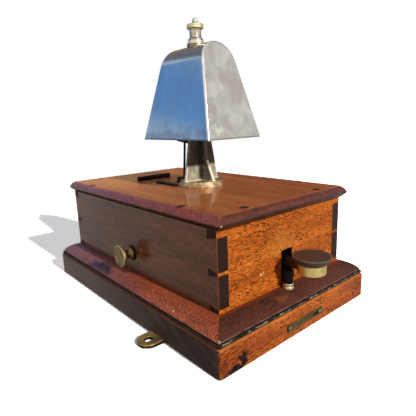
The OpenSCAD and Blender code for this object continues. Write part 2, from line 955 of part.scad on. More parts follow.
module finial_nut() {
    chamfer = 0.8;
    bore = stud_r + fit_gap;
    color(BRASS)
        translate([pillar_x, 0, z_nut])
            rotate_extrude()
                polygon([
                    [bore, 0],
                    [nut_r - chamfer, 0],
                    [nut_r, chamfer],
                    [nut_r, nut_h - chamfer],
                    [nut_r - chamfer, nut_h],
                    [bore, nut_h]
                ]);
}

module magnet_yoke() {
    color(IRON)
        difference() {
            translate([core_x - yoke_w / 2, -yoke_l / 2, z_floor])
                cube([yoke_w, yoke_l, yoke_h]);
            yoke_screw_set(fit_gap);
        }
}

module yoke_screws() {
    color(STEEL)
        yoke_screw_set();
}

module at_cores() {
    for (side = [-1, 1])
        translate([core_x, side * core_y, z_floor + yoke_h])
            children();
}

module magnet_cores() {
    color(IRON)
        at_cores()
            cylinder(h = pole_z - z_floor - yoke_h, r = core_r);
}

module coil_bobbins() {
    bore = core_r + lay_gap;
    tube = bore + bobbin_wall;
    h = bobbin_top - z_floor - yoke_h;
    color(EBONITE)
        at_cores()
            rotate_extrude()
                polygon([
                    [bore, 0],
                    [bobbin_r, 0],
                    [bobbin_r, bobbin_flange_t],
                    [tube, bobbin_flange_t],
                    [tube, h - bobbin_flange_t],
                    [bobbin_r, h - bobbin_flange_t],
                    [bobbin_r, h],
                    [bore, h]
                ]);
}

module coil_windings() {
    inside = core_r + bobbin_wall + 2 * lay_gap;
    h = bobbin_top - z_floor - yoke_h - 2 * bobbin_flange_t;
    color(SILK)
        at_cores()
            translate([0, 0, bobbin_flange_t])
                difference() {
                    cylinder(h = h, r = bobbin_r - 1);
                    translate([0, 0, -past])
                        cylinder(h = h + 2 * past, r = inside);
                }
}

module hammer_bracket() {
    color(BRASS)
        pivot_bracket(pivot_x, pivot_z, hub_half);
}

module hammer_bracket_screws() {
    color(STEEL)
        translate([pivot_x, 0, 0])
            bracket_screw_set(hub_half);
}

module hammer_pivot() {
    color(STEEL)
        pivot_pin(pivot_x, pivot_z, hub_half);
}

// The hammer's own frame: origin on its pivot, upright when it strikes, shown here at rest
module at_hammer() {
    translate([pivot_x, 0, pivot_z])
        rotate([0, hammer_throw, 0])
            children();
}

// Place under the hammer's tail at rest, for a point that far in front of its pivot
function tail_x(arm) = pivot_x + arm * cos(hammer_throw) - arm_h / 2 * sin(hammer_throw);
function tail_z(arm) = pivot_z - arm * sin(hammer_throw) - arm_h / 2 * cos(hammer_throw);

rest_screw_r = 2;
rest_screw_h = 14;
rest_screw_top = tail_z(rest_stop_arm + rest_screw_r) - stop_gap;

module rest_stop_post() {
    top = rest_screw_top - 6;
    color(BRASS)
        translate([tail_x(rest_stop_arm), 0, z_floor])
            difference() {
                union() {
                    cylinder(h = 3, r = rest_foot_r);
                    cylinder(h = top - z_floor, r = rest_post_r);
                }
                translate([0, 0, top - z_floor - rest_screw_h + 6])
                    cylinder(h = rest_screw_h, r = rest_screw_r + fit_gap);
            }
}

module rest_stop_screw() {
    color(STEEL)
        translate([tail_x(rest_stop_arm), 0, rest_screw_top - rest_screw_h + lay_gap]) {
            cylinder(h = rest_screw_h - lay_gap, r = rest_screw_r);
            translate([0, 0, rest_screw_h - 6 - lay_gap])
                cylinder(h = 2.5, r = 3.6, $fn = 6);
        }
}

spring_anchor_h = 6;

module spring_anchor() {
    color(BRASS)
        translate([tail_x(spring_arm), 0, z_floor])
            cylinder(h = spring_anchor_h, r = spring_anchor_r);
}

module hammer_spring() {
    foot = z_floor + spring_anchor_h;
    spring_r = 2.6;
    wire_r = 0.4;
    top = tail_z(spring_arm + spring_r + wire_r) - stop_gap;
    color(STEEL)
        translate([tail_x(spring_arm), 0, foot])
            coil_wire(spring_r, wire_r, 16, top - foot);
}

module hammer_lever() {
    arm_l = core_back + armature_w / 2 + 1;
    color(BRASS)
        at_hammer()
            difference() {
                union() {
                    rotate([90, 0, 0])
                        cylinder(h = 2 * hub_half, r = hub_r, center = true);
                    translate([-arm_l, -arm_w / 2, -arm_h / 2])
                        cube([arm_l, arm_w, arm_h]);
                    translate([0, -tail_w / 2, -arm_h / 2])
                        cube([hammer_tail, tail_w, arm_h]);
                    translate([-boss_front, -boss_w / 2, 0])
                        cube([2 * boss_front, boss_w, boss_foot]);
                }
                rotate([90, 0, 0])
                    cylinder(h = 2 * hub_half + 2 * past, r = pin_r + fit_gap, center = true);
                translate([0, 0, rod_foot])
                    cylinder(h = boss_foot, r = rod_r + fit_gap);
                armature_screw_set(fit_gap);
            }
}

module armature_screw_set(grow = 0) {
    for (side = [-1, 1])
        translate([-core_back + side * 3.4, 0, arm_h / 2 - head_sink / 2])
            screw(small_screw, grow);
}

module armature() {
    color(IRON)
        at_hammer()
            difference() {
                translate([-core_back - armature_w / 2, -armature_l / 2, -arm_h / 2 - armature_t])
                    cube([armature_w, armature_l, armature_t]);
                armature_screw_set(fit_gap);
            }
}

module armature_screws() {
    color(STEEL)
        at_hammer()
            armature_screw_set();
}

module hammer_boss() {
    color(BLACK)
        at_hammer()
            difference() {
                translate([-boss_back, -boss_w / 2, boss_foot])
                    cube([boss_back + boss_front, boss_w, boss_top - boss_foot]);
                translate([0, 0, boss_foot - past])
                    cylinder(h = boss_top - boss_foot + 2 * past, r = rod_r + fit_gap);
            }
}

rod_in_head = 5;

module hammer_rod() {
    foot = rod_foot + lay_gap;
    color(BLACK)
        at_hammer()
            translate([0, 0, foot])
                cylinder(h = hammer_l + rod_in_head - lay_gap - foot, r = rod_r);
}

module hammer_head() {
    chamfer = 2;
    outline = concat(
        turn([0, strike_x], head_r, -90, 0, arc_steps),
        [[head_r, head_tail - chamfer], [head_r - chamfer, head_tail], [0, head_tail]]
    );
    color(BLACK)
        at_hammer()
            difference() {
                translate([0, 0, hammer_l])
                    rotate([0, 90, 0])
                        rotate_extrude()
                            polygon(outline);
                translate([0, 0, hammer_l - head_r - past])
                    cylinder(h = head_r + rod_in_head + past, r = rod_r + fit_gap);
            }
}

module tapper_bracket() {
    color(BRASS)
        pivot_bracket(tapper_x, tapper_z, tapper_hub_half);
}

module tapper_bracket_screws() {
    color(STEEL)
        translate([tapper_x, 0, 0])
            bracket_screw_set(tapper_hub_half);
}

module tapper_pivot() {
    color(STEEL)
        pivot_pin(tapper_x, tapper_z, tapper_hub_half);
}

module tapper_spring() {
    spring_r = 3.4;
    wire_r = 0.5;
    color(STEEL)
        translate([tapper_spring_x, 0, z_floor])
            coil_wire(spring_r, wire_r, 6, lever_lift - stop_gap);
}

// A contact post that stands on the case's floor
module contact_post(x, top) {
    color(BRASS)
        translate([x, 0, z_floor]) {
            cylinder(h = 3, r = contact_r + 2.5);
            cylinder(h = top - z_floor, r = contact_r);
        }
}

module front_contact() {
    contact_post(front_contact_x, front_contact_top);
}

module back_contact() {
    contact_post(back_contact_x, lever_z - stop_gap);
}

module stop_post() {
    flutes = 10;
    flute_r = 0.7;
    color(BLACK)
        translate([post_x, post_y, post_seat])
            difference() {
                cylinder(h = post_top - post_seat, r = post_r);
                for (i = [0:flutes - 1])
                    rotate([0, 0, 360 * i / flutes])
                        translate([post_r + flute_r / 3, 0, z_floor + post_collar_h + 0.6 - post_seat])
                            cylinder(h = post_top - z_floor, r = flute_r);
            }
}

module stop_post_collar() {
    color(BRASS)
        translate([post_x, post_y, post_seat])
            difference() {
                cylinder(h = z_floor + post_collar_h - post_seat, r = post_collar_r);
                translate([0, 0, -past])
                    cylinder(h = board_h + post_collar_h, r = post_r + fit_gap);
            }
}

module tapper_lever() {
    color(BRASS)
        difference() {
            union() {
                translate([tapper_x - lever_tail, -lever_w / 2, lever_z])
                    cube([tapper_arm + lever_tail, lever_w, lever_d]);
                translate([tapper_x, 0, tapper_z])
                    rotate([90, 0, 0])
                        cylinder(h = 2 * tapper_hub_half, r = hub_r, center = true);
                translate([knob_x, 0, lever_z - ferrule_drop])
                    cylinder(h = ferrule_h, r = ferrule_r);
            }
            translate([tapper_x, 0, tapper_z])
                rotate([90, 0, 0])
                    cylinder(h = 2 * tapper_hub_half + 2 * past, r = pin_r + fit_gap, center = true);
            knob_screw_place(fit_gap);
        }
}

module knob_screw_place(grow = 0) {
    translate([knob_x, 0, lever_z - ferrule_drop + head_sink])
        rotate([180, 0, 0])
            screw(knob_screw_size, grow);
}

module tapper_knob() {
    bevel_h = knob_h * 0.84;
    lip = 0.8;
    belly = 0.7;
    color(EBONITE)
        difference() {
            translate([knob_x, 0, knob_z])
                rotate_extrude()
                    polygon(concat(
                        [[0, 0]],
                        bow([ferrule_r, 0], [knob_r, bevel_h], -belly, arc_steps / 2),
                        turn([knob_r - lip, knob_h - lip], lip, 0, 90, arc_steps / 2),
                        [[0, knob_h]]
                    ));
            knob_screw_place(fit_gap);
        }
}

module knob_screw() {
    color(STEEL)
        knob_screw_place();
}

module terminal_strip() {
    strip_length = terminal_pitch * terminal_count;
    color(EBONITE)
        translate([terminal_x - terminal_strip_w / 2, -strip_length / 2, z_floor])
            cube([terminal_strip_w, strip_length, terminal_strip_h]);
}

module terminals() {
    color(BRASS)
        for (i = [0:terminal_count - 1])
            translate([
                terminal_x,
                (i - (terminal_count - 1) / 2) * terminal_pitch,
                z_floor + terminal_strip_h
            ]) {
                cylinder(h = terminal_foot[1], r = terminal_foot[0]);
                cylinder(h = terminal_stem[1], r = terminal_stem[0]);
                translate([0, 0, terminal_nut[1]])
                    cylinder(h = terminal_nut[1], r = terminal_nut[0]);
            }
}

// The catch's axis: its own Z runs out through the long side, away from the case
module at_catch() {
    translate([catch_x, -panel_y, catch_z])
        rotate([90, 0, 0])
            children();
}

module catch_collar() {
    color(BLACK)
        at_catch()
            difference() {
                cylinder(h = catch_collar_t, r1 = catch_collar_r, r2 = catch_collar_r - 1);
                translate([0, 0, -past])
                    cylinder(h = catch_collar_t + 2 * past, r = spindle_r + fit_gap);
            }
}

module catch_knob() {
    foot = catch_collar_t + stop_gap;
    face = catch_collar_t + turn_knob_l;
    rim = 1.8;
    dish = 1.2;
    neck_r = 4.6;
    bore = spindle_r + fit_gap;
    color(BRASS)
        at_catch()
            rotate_extrude()
                polygon([
                    [bore, foot],
                    [neck_r + 1.6, foot],
                    [neck_r, foot + 2.4],
                    [neck_r, foot + 4.2],
                    [neck_r + 2, face - 4.6],
                    [turn_knob_r, face - 3],
                    [turn_knob_r, face - 0.6],
                    [turn_knob_r - 0.6, face],
                    [turn_knob_r - rim, face],
                    [turn_knob_r - rim - 0.6, face - dish],
                    [0, face - dish],
                    [0, face - dish - 2],
                    [bore, face - dish - 2]
                ]);
}

module catch_spindle() {
    out = catch_collar_t + turn_knob_l - 3.2 - lay_gap;
    color(STEEL)
        at_catch()
            translate([0, 0, -spindle_in - panel_y])
                cylinder(h = out + spindle_in + panel_y, r = spindle_r);
}

module catch_tongue() {
    color(STEEL)
        translate([catch_x, tongue_y + tongue_t / 2, catch_z])
            rotate([90, 0, 0])
                difference() {
                    union() {
                        cylinder(h = tongue_t, r = spindle_r + 4, center = true);
                        translate([0, -tongue_w / 2, -tongue_t / 2])
                            cube([tongue_l, tongue_w, tongue_t]);
                    }
                    cylinder(h = tongue_t + 2 * past, r = spindle_r + fit_gap, center = true);
                }
}

module catch_keeper() {
    plate_t = 3;
    keeper_w = tongue_l - spindle_r - 6;
    keeper_x = catch_x + tongue_l - keeper_w;
    plate_y = tongue_y + tongue_t + 1.5;
    lip_z = catch_z + tongue_w / 2 + stop_gap;
    color(BRASS) {
        translate([keeper_x, plate_y, z_floor])
            cube([keeper_w, plate_t, lip_z + plate_t - z_floor]);
        translate([keeper_x, tongue_y - 0.5, lip_z])
            cube([keeper_w, plate_y - tongue_y + 0.5, plate_t]);
        translate([keeper_x, plate_y, z_floor])
            cube([keeper_w, 16, plate_t]);
    }
}

base_block();
base_board();
fixing_lugs();
lug_screws();
label_plate();
label_screws();
side_panel_front();
side_panel_back();
end_panel_tapper();
end_panel_rear();
wire_bush();
locating_battens();
top_board();
top_screws();
top_strips();
bell_pillar();
flange_screws();
cushion_washer();
bell();
bell_stud();
seat_washer();
finial_column();
finial_nut();
magnet_yoke();
yoke_screws();
magnet_cores();
coil_bobbins();
coil_windings();
hammer_bracket();
hammer_bracket_screws();
hammer_pivot();
rest_stop_post();
rest_stop_screw();
spring_anchor();
hammer_spring();
hammer_lever();
armature();
armature_screws();
hammer_boss();
hammer_rod();
hammer_head();
tapper_bracket();
tapper_bracket_screws();
tapper_pivot();
tapper_spring();
front_contact();
back_contact();
stop_post();
stop_post_collar();
tapper_lever();
tapper_knob();
knob_screw();
terminal_strip();
terminals();
catch_collar();
catch_keeper();
catch_knob();
catch_spindle();
catch_tongue();
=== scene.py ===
"""Looks of a railway block bell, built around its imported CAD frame.

Each sub-assembly is a class that holds its sizes in millimetres, in the frame of the solids: X along the
case towards the tapper, Y across, Z up, origin on the floor under the middle of the base.
"""

import logging
import math
from dataclasses import dataclass, field
from enum import Enum
from typing import Callable, Optional, Sequence, Union

import bmesh
import bpy
import numpy as np
from mathutils import Matrix, Vector
from numpy.typing import NDArray


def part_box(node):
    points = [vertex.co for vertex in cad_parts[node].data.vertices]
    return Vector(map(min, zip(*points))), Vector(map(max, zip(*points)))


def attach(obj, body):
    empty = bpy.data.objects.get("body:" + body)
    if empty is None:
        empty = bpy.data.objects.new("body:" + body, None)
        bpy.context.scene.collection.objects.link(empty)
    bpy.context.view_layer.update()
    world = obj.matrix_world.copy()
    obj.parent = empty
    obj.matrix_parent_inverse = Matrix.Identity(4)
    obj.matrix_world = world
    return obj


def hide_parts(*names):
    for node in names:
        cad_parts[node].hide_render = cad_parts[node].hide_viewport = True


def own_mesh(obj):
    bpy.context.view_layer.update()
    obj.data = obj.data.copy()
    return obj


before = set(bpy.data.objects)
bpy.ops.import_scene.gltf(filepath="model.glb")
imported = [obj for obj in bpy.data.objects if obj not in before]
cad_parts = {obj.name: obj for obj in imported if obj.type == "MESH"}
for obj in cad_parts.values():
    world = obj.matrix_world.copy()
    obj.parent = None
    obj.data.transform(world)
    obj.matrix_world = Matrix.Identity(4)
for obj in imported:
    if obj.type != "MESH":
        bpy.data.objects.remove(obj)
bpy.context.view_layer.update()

LOG = logging.getLogger("block_bell")
MM = 0.001
# Heights in mm of the top board's face, the base board's face, the top board's underside and the
# base block's top
DECK = 118.0
FLOOR = 38.6
LID = 106.8
BLOCK_TOP = 24.4

# Points closer than the first are merged, edges shorter than the second fold away, in metres
MERGE = 2e-6
SLIVER = 1e-7
# Width of every screw head's slot, and the gap between a bore and what runs through it, in mm
SCREW_SLOT = 0.9
BORE_GAP = 0.05

Points = NDArray[np.float64]
Indices = NDArray[np.int64]
Amount = Union[float, Points]
Spot = Sequence[float]
Outline = Sequence[Sequence[float]]
Wave = Callable[[Points, Points], Points]
Colour = tuple[float, float, float, float]
Socket = bpy.types.NodeSocket
Outputs = bpy.types.NodeOutputs
Feed = Union[Socket, float, Sequence[float]]
Feeds = dict[Union[str, int], Feed]

BLACK: Colour = (0.0, 0.0, 0.0, 1.0)


class Body(str, Enum):
    """The CAD bodies that pieces ride on."""

    CASE = "case"
    HAMMER = "hammer"
    TAPPER = "tapper"
    CATCH = "catch"


class Grain(Enum):
    """The axis that a board's grain runs along."""

    X = "X"
    Y = "Y"
    ROUND = "along each side"


def srgb(red: int, green: int, blue: int) -> Colour:
    """Turns a screen colour into a linear one.

    Args:
        red: Red, 0 to 255.
        green: Green, 0 to 255.
        blue: Blue, 0 to 255.

    Returns:
        The linear colour with full alpha.
    """
    c = np.array([red, green, blue]) / 255.0
    lin = np.where(c <= 0.04045, c / 12.92, ((c + 0.055) / 1.055) ** 2.4)
    return (float(lin[0]), float(lin[1]), float(lin[2]), 1.0)


# Mesh work


@dataclass
class Skin:
    """Vertices, faces and a wear value per vertex, gathered for one mesh."""

    points: list[Points] = field(default_factory=list)
    faces: list[list[int]] = field(default_factory=list)
    wear: list[Points] = field(default_factory=list)
    size: int = 0

    def take(self, pts: Points, wear: Amount = 0.0) -> Indices:
        """Stores points of any grid shape.

        Args:
            pts: Array whose last axis is x, y, z in millimetres.
            wear: Wear of the points, one number or an array that fits the grid.

        Returns:
            The points' indices in the grid's shape.
        """
        shape = pts.shape[:-1]
        index = np.arange(int(np.prod(shape))).reshape(shape) + self.size
        self.points.append(pts.reshape(-1, 3))
        self.wear.append(np.broadcast_to(np.asarray(wear, float), shape).reshape(-1))
        self.size += index.size
        return index

    def quads(self, index: Indices, wrap_rows: bool = False, wrap_cols: bool = False) -> None:
        """Joins a grid of indices with four-sided faces, closing either direction if asked."""
        if wrap_rows:
            index = np.vstack([index, index[:1]])
        if wrap_cols:
            index = np.hstack([index, index[:, :1]])
        corners = np.stack([index[:-1, :-1], index[:-1, 1:], index[1:, 1:], index[1:, :-1]], axis=-1)
        self.faces.extend(corners.reshape(-1, 4).tolist())

    def grid(
        self, pts: Points, wear: Amount = 0.0, wrap_rows: bool = False, wrap_cols: bool = False
    ) -> Indices:
        """Adds a grid surface and returns its indices."""
        index = self.take(pts, wear)
        self.quads(index, wrap_rows, wrap_cols)
        return index

    def solid(self, rings: Points, wear: Amount = 0.0) -> None:
        """Adds closed rings joined into one surface, with a face over the first and over the last."""
        index = self.grid(rings, wear, wrap_cols=True)
        self.faces.extend([index[0].tolist(), index[-1].tolist()])

    def lathe(
        self,
        profile: Points,
        sides: int,
        origin: Spot,
        axis: str = "Z",
        wear: Amount = 0.0,
        closed: bool = False,
        wave: Optional[Wave] = None,
    ) -> None:
        """Adds a profile turned about an axis.

        Args:
            profile: Points (radius, height), (k, 2).
            sides: Points around.
            origin: Where the profile's own origin goes.
            axis: The axis, as set_at names it.
            wear: Wear, one number or one per point of the profile.
            closed: Whether the profile's end joins its start.
            wave: Optional radius change, as turned takes it.
        """
        rub = np.broadcast_to(np.asarray(wear, float), len(profile))[:, None]
        self.grid(set_at(turned(profile, sides, wave), origin, axis), rub, closed, True)

    def build(self, name: str, sharp_deg: float = 32.0) -> bpy.types.Object:
        """Makes the mesh object: doubles merged, normals outward, smooth up to an angle.

        Args:
            name: Name of the piece.
            sharp_deg: Angle over which an edge stays sharp.

        Returns:
            The object, at the origin and in the scene.
        """
        mesh = bpy.data.meshes.new(name)
        mesh.from_pydata((np.concatenate(self.points) * MM).tolist(), [], self.faces)
        layer = mesh.attributes.new("wear", "FLOAT", "POINT")
        layer.data.foreach_set("value", np.concatenate(self.wear).astype(np.float32))
        work = bmesh.new()
        work.from_mesh(mesh)
        bmesh.ops.remove_doubles(work, verts=work.verts, dist=MERGE)
        bmesh.ops.dissolve_degenerate(work, edges=work.edges, dist=SLIVER)
        bmesh.ops.recalc_face_normals(work, faces=work.faces)
        work.to_mesh(mesh)
        work.free()
        mesh.shade_smooth()
        mesh.set_sharp_from_angle(angle=math.radians(sharp_deg))
        piece = bpy.data.objects.new(name, mesh)
        bpy.context.scene.collection.objects.link(piece)
        return piece


def soften(corners: Outline, radius: Union[float, Spot], steps: int = 5) -> Points:
    """Rounds the inner corners of an open line.

    Each corner P gets the curve (1-s)^2 A + 2 s (1-s) P + s^2 B, where A and B lie on its two sides at
    the rounding's distance, or at 0.46 of a shorter side.

    Args:
        corners: Points of the line, (k, 2).
        radius: Distance from the corner to the curve's ends, one for all or one per inner corner.
        steps: Steps along each curve.

    Returns:
        The rounded line, (m, 2).
    """
    short_share = 0.46
    p = np.asarray(corners, float)
    before, here, after = p[:-2], p[1:-1], p[2:]
    back, ahead = before - here, after - here
    back_l = np.linalg.norm(back, axis=1, keepdims=True)
    ahead_l = np.linalg.norm(ahead, axis=1, keepdims=True)
    reach = np.broadcast_to(np.asarray(radius, float).reshape(-1, 1), back_l.shape)
    reach = np.minimum(reach, short_share * np.minimum(back_l, ahead_l))
    a = here + back / back_l * reach
    b = here + ahead / ahead_l * reach
    s = np.linspace(0.0, 1.0, steps + 1)[None, :, None]
    curve = (1 - s) ** 2 * a[:, None] + 2 * s * (1 - s) * here[:, None] + s**2 * b[:, None]
    return np.vstack([p[:1], curve.reshape(-1, 2), p[-1:]])


def turned(profile: Points, sides: int, wave: Optional[Wave] = None) -> Points:
    """Turns a profile of (radius, height) about Z: x = r cos t, y = r sin t, z = h.

    Args:
        profile: Points of the profile, (k, 2).
        sides: Points around.
        wave: Optional radius change as a function of the angle and the height.

    Returns:
        A grid (k, sides, 3).
    """
    t = np.linspace(0, 2 * np.pi, sides, endpoint=False)[None, :]
    r, h = profile[:, :1], profile[:, 1:2]
    if wave is not None:
        r = r + wave(t, h)
    return np.stack([r * np.cos(t), r * np.sin(t), np.broadcast_to(h, (len(profile), sides))], axis=-1)


def set_at(pts: Points, origin: Spot, axis: str = "Z") -> Points:
    """Moves a grid made about Z so that its Z runs along another axis from an origin.

    Args:
        pts: The grid.
        origin: Where its own origin goes.
        axis: "Z", "X", "-X", "Y" or "-Y".

    Returns:
        The moved grid.
    """
    x, y, z = pts[..., 0], pts[..., 1], pts[..., 2]
    ways = {"Z": (x, y, z), "X": (z, x, y), "-X": (-z, x, y), "Y": (x, z, y), "-Y": (x, -z, y)}
    return np.stack(ways[axis], axis=-1) + np.asarray(origin, float)


def rect_rings(half_l: Points, half_w: Points, z: Points, corner: Amount, steps: int = 6) -> Points:
    """Rings of rounded rectangles, one per height.

    A ring's corner is its centre at (half_l - r, half_w - r) plus r (cos t, sin t) over a quarter turn.

    Args:
        half_l: Half-lengths along X, (k,).
        half_w: Half-widths along Y, (k,).
        z: Heights, (k,).
        corner: Corner radius, one or one per ring.
        steps: Steps around each corner.

    Returns:
        A grid (k, 4 * (steps + 1), 3).
    """
    quarter = np.linspace(0, np.pi / 2, steps + 1)
    turn = (np.arange(4)[:, None] * np.pi / 2 + quarter[None, :]).reshape(-1)
    sx = np.repeat([1, -1, -1, 1], steps + 1)
    sy = np.repeat([1, 1, -1, -1], steps + 1)
    r = np.broadcast_to(np.asarray(corner, float), half_l.shape)[:, None]
    x = sx * (half_l[:, None] - r) + r * np.cos(turn)
    y = sy * (half_w[:, None] - r) + r * np.sin(turn)
    return np.stack([x, y, np.broadcast_to(z[:, None], x.shape)], axis=-1)


def rounded_box(skin: Skin, low: Spot, high: Spot, edge: float, corner: float) -> None:
    """Adds a box with rounded upright corners and softened top and bottom edges.

    Args:
        skin: Where the box goes.
        low: Lowest corner.
        high: Highest corner.
        edge: Rounding of the top and bottom edges.
        corner: Radius of the upright corners.
    """
    lo, hi = np.asarray(low, float), np.asarray(high, float)
    mid, half = (lo + hi) / 2, (hi - lo) / 2
    run = 2.2 * edge
    line = soften([[run, lo[2]], [0, lo[2]], [0, hi[2]], [run, hi[2]]], edge, 4)
    rings = rect_rings(half[0] - line[:, 0], half[1] - line[:, 0], line[:, 1], corner)
    skin.solid(rings + np.array([mid[0], mid[1], 0.0]))


def outline_offset(outline: Points, inset: float) -> Points:
    """Moves each side of a closed outline inwards and meets the sides again.

    At a corner with unit side normals n1 and n2 the point moves by inset (n1 + n2) / (1 + n1.n2).

    Args:
        outline: Corners in counter-clockwise order, (n, 2).
        inset: Distance inwards.

    Returns:
        The moved corners.
    """
    ahead = np.roll(outline, -1, axis=0) - outline
    normal = np.stack([-ahead[:, 1], ahead[:, 0]], axis=1)
    normal /= np.linalg.norm(normal, axis=1, keepdims=True)
    last = np.roll(normal, 1, axis=0)
    return outline + inset * (normal + last) / (1 + (normal * last).sum(axis=1, keepdims=True))


def lifted(ring: Points, up: float) -> Points:
    """Puts a flat ring of points at a height."""
    return np.column_stack([ring, np.full(len(ring), up)])


def peak(value: Points, at: float, spread: float) -> Points:
    """A smooth peak of 1 where a value is met: exp(-((value - at) / spread)^2)."""
    return np.exp(-(((value - at) / spread) ** 2))


def prism(
    skin: Skin, outline: Outline, low: float, high: float, axis: str, edge: float, worn: float = 1.0
) -> None:
    """Adds a flat outline drawn out along an axis, with its end edges chamfered.

    Args:
        skin: Where the prism goes.
        outline: Corners, (n, 2), in counter-clockwise order: (x, z) for Y, (y, z) for X, (x, y) for Z.
        low: Where it starts along the axis.
        high: Where it ends.
        axis: "X", "Y" or "Z".
        edge: Chamfer of the end edges.
        worn: Wear of the chamfers.
    """
    margin = 0.7
    flat = np.asarray(outline, float)
    inner, face = outline_offset(flat, edge), outline_offset(flat, edge + margin)
    start = [(face, low), (inner, low), (flat, low + edge), (flat, low + edge + margin)]
    end = [(flat, high - edge - margin), (flat, high - edge), (inner, high), (face, high)]
    order = {"X": [2, 0, 1], "Y": [0, 2, 1], "Z": [0, 1, 2]}[axis]
    stack = np.stack([lifted(ring, at)[:, order] for ring, at in start + end])
    skin.solid(stack, worn * np.array([0.0, 1.0, 1.0, 0.0, 0.0, 1.0, 1.0, 0.0])[:, None])


def slotted_head(skin: Skin, spot: Spot, radius: float, slot: float, turn: float) -> None:
    """Adds a screw head that stands 0.12 mm proud: two half discs either side of a slot with a floor in it.

    Args:
        skin: Where the head goes.
        spot: The middle of the face that the head is let into.
        radius: Radius of the head.
        slot: Width of the slot.
        turn: Direction of the slot, in degrees.
    """
    sunk, shoulder, proud, chamfer = -0.3, 0.06, 0.12, 0.15
    floor_up, rim = 0.02, radius + 0.35
    edge = math.asin(slot / (2 * radius))
    arc = math.radians(turn) + np.linspace(edge, np.pi - edge, 25)
    for a in (arc, arc + np.pi):
        flat = radius * np.column_stack([np.cos(a), np.sin(a)])
        rows = [(flat, sunk), (flat, shoulder), (outline_offset(flat, chamfer), proud)]
        stack = np.stack([lifted(ring, up) for ring, up in rows])
        skin.solid(stack + np.asarray(spot, float), np.array([0.0, 1.0, 0.5])[:, None])
    floor = np.array([[0, sunk], [rim, sunk], [rim, floor_up], [0, floor_up]])
    skin.lathe(floor, 48, spot)


def helix_tube(radius: float, wire: float, turns: int, height: float) -> Points:
    """A round wire wound in a helix: the centre turns evenly and climbs evenly, the section stays upright.

    Args:
        radius: Mean radius of the turns.
        wire: Radius of the wire.
        turns: Number of turns.
        height: Height over all.

    Returns:
        A grid (rings, 10, 3).
    """
    per_turn, around = 28, 10
    a = np.linspace(0, 2 * np.pi * turns, turns * per_turn + 1)[:, None]
    b = np.linspace(0, 2 * np.pi, around, endpoint=False)[None, :]
    out = radius + wire * np.cos(b)
    z = wire + (height - 2 * wire) * a / a[-1] + wire * np.sin(b)
    return np.stack([out * np.cos(a), out * np.sin(a), z], axis=-1)


# Shader work


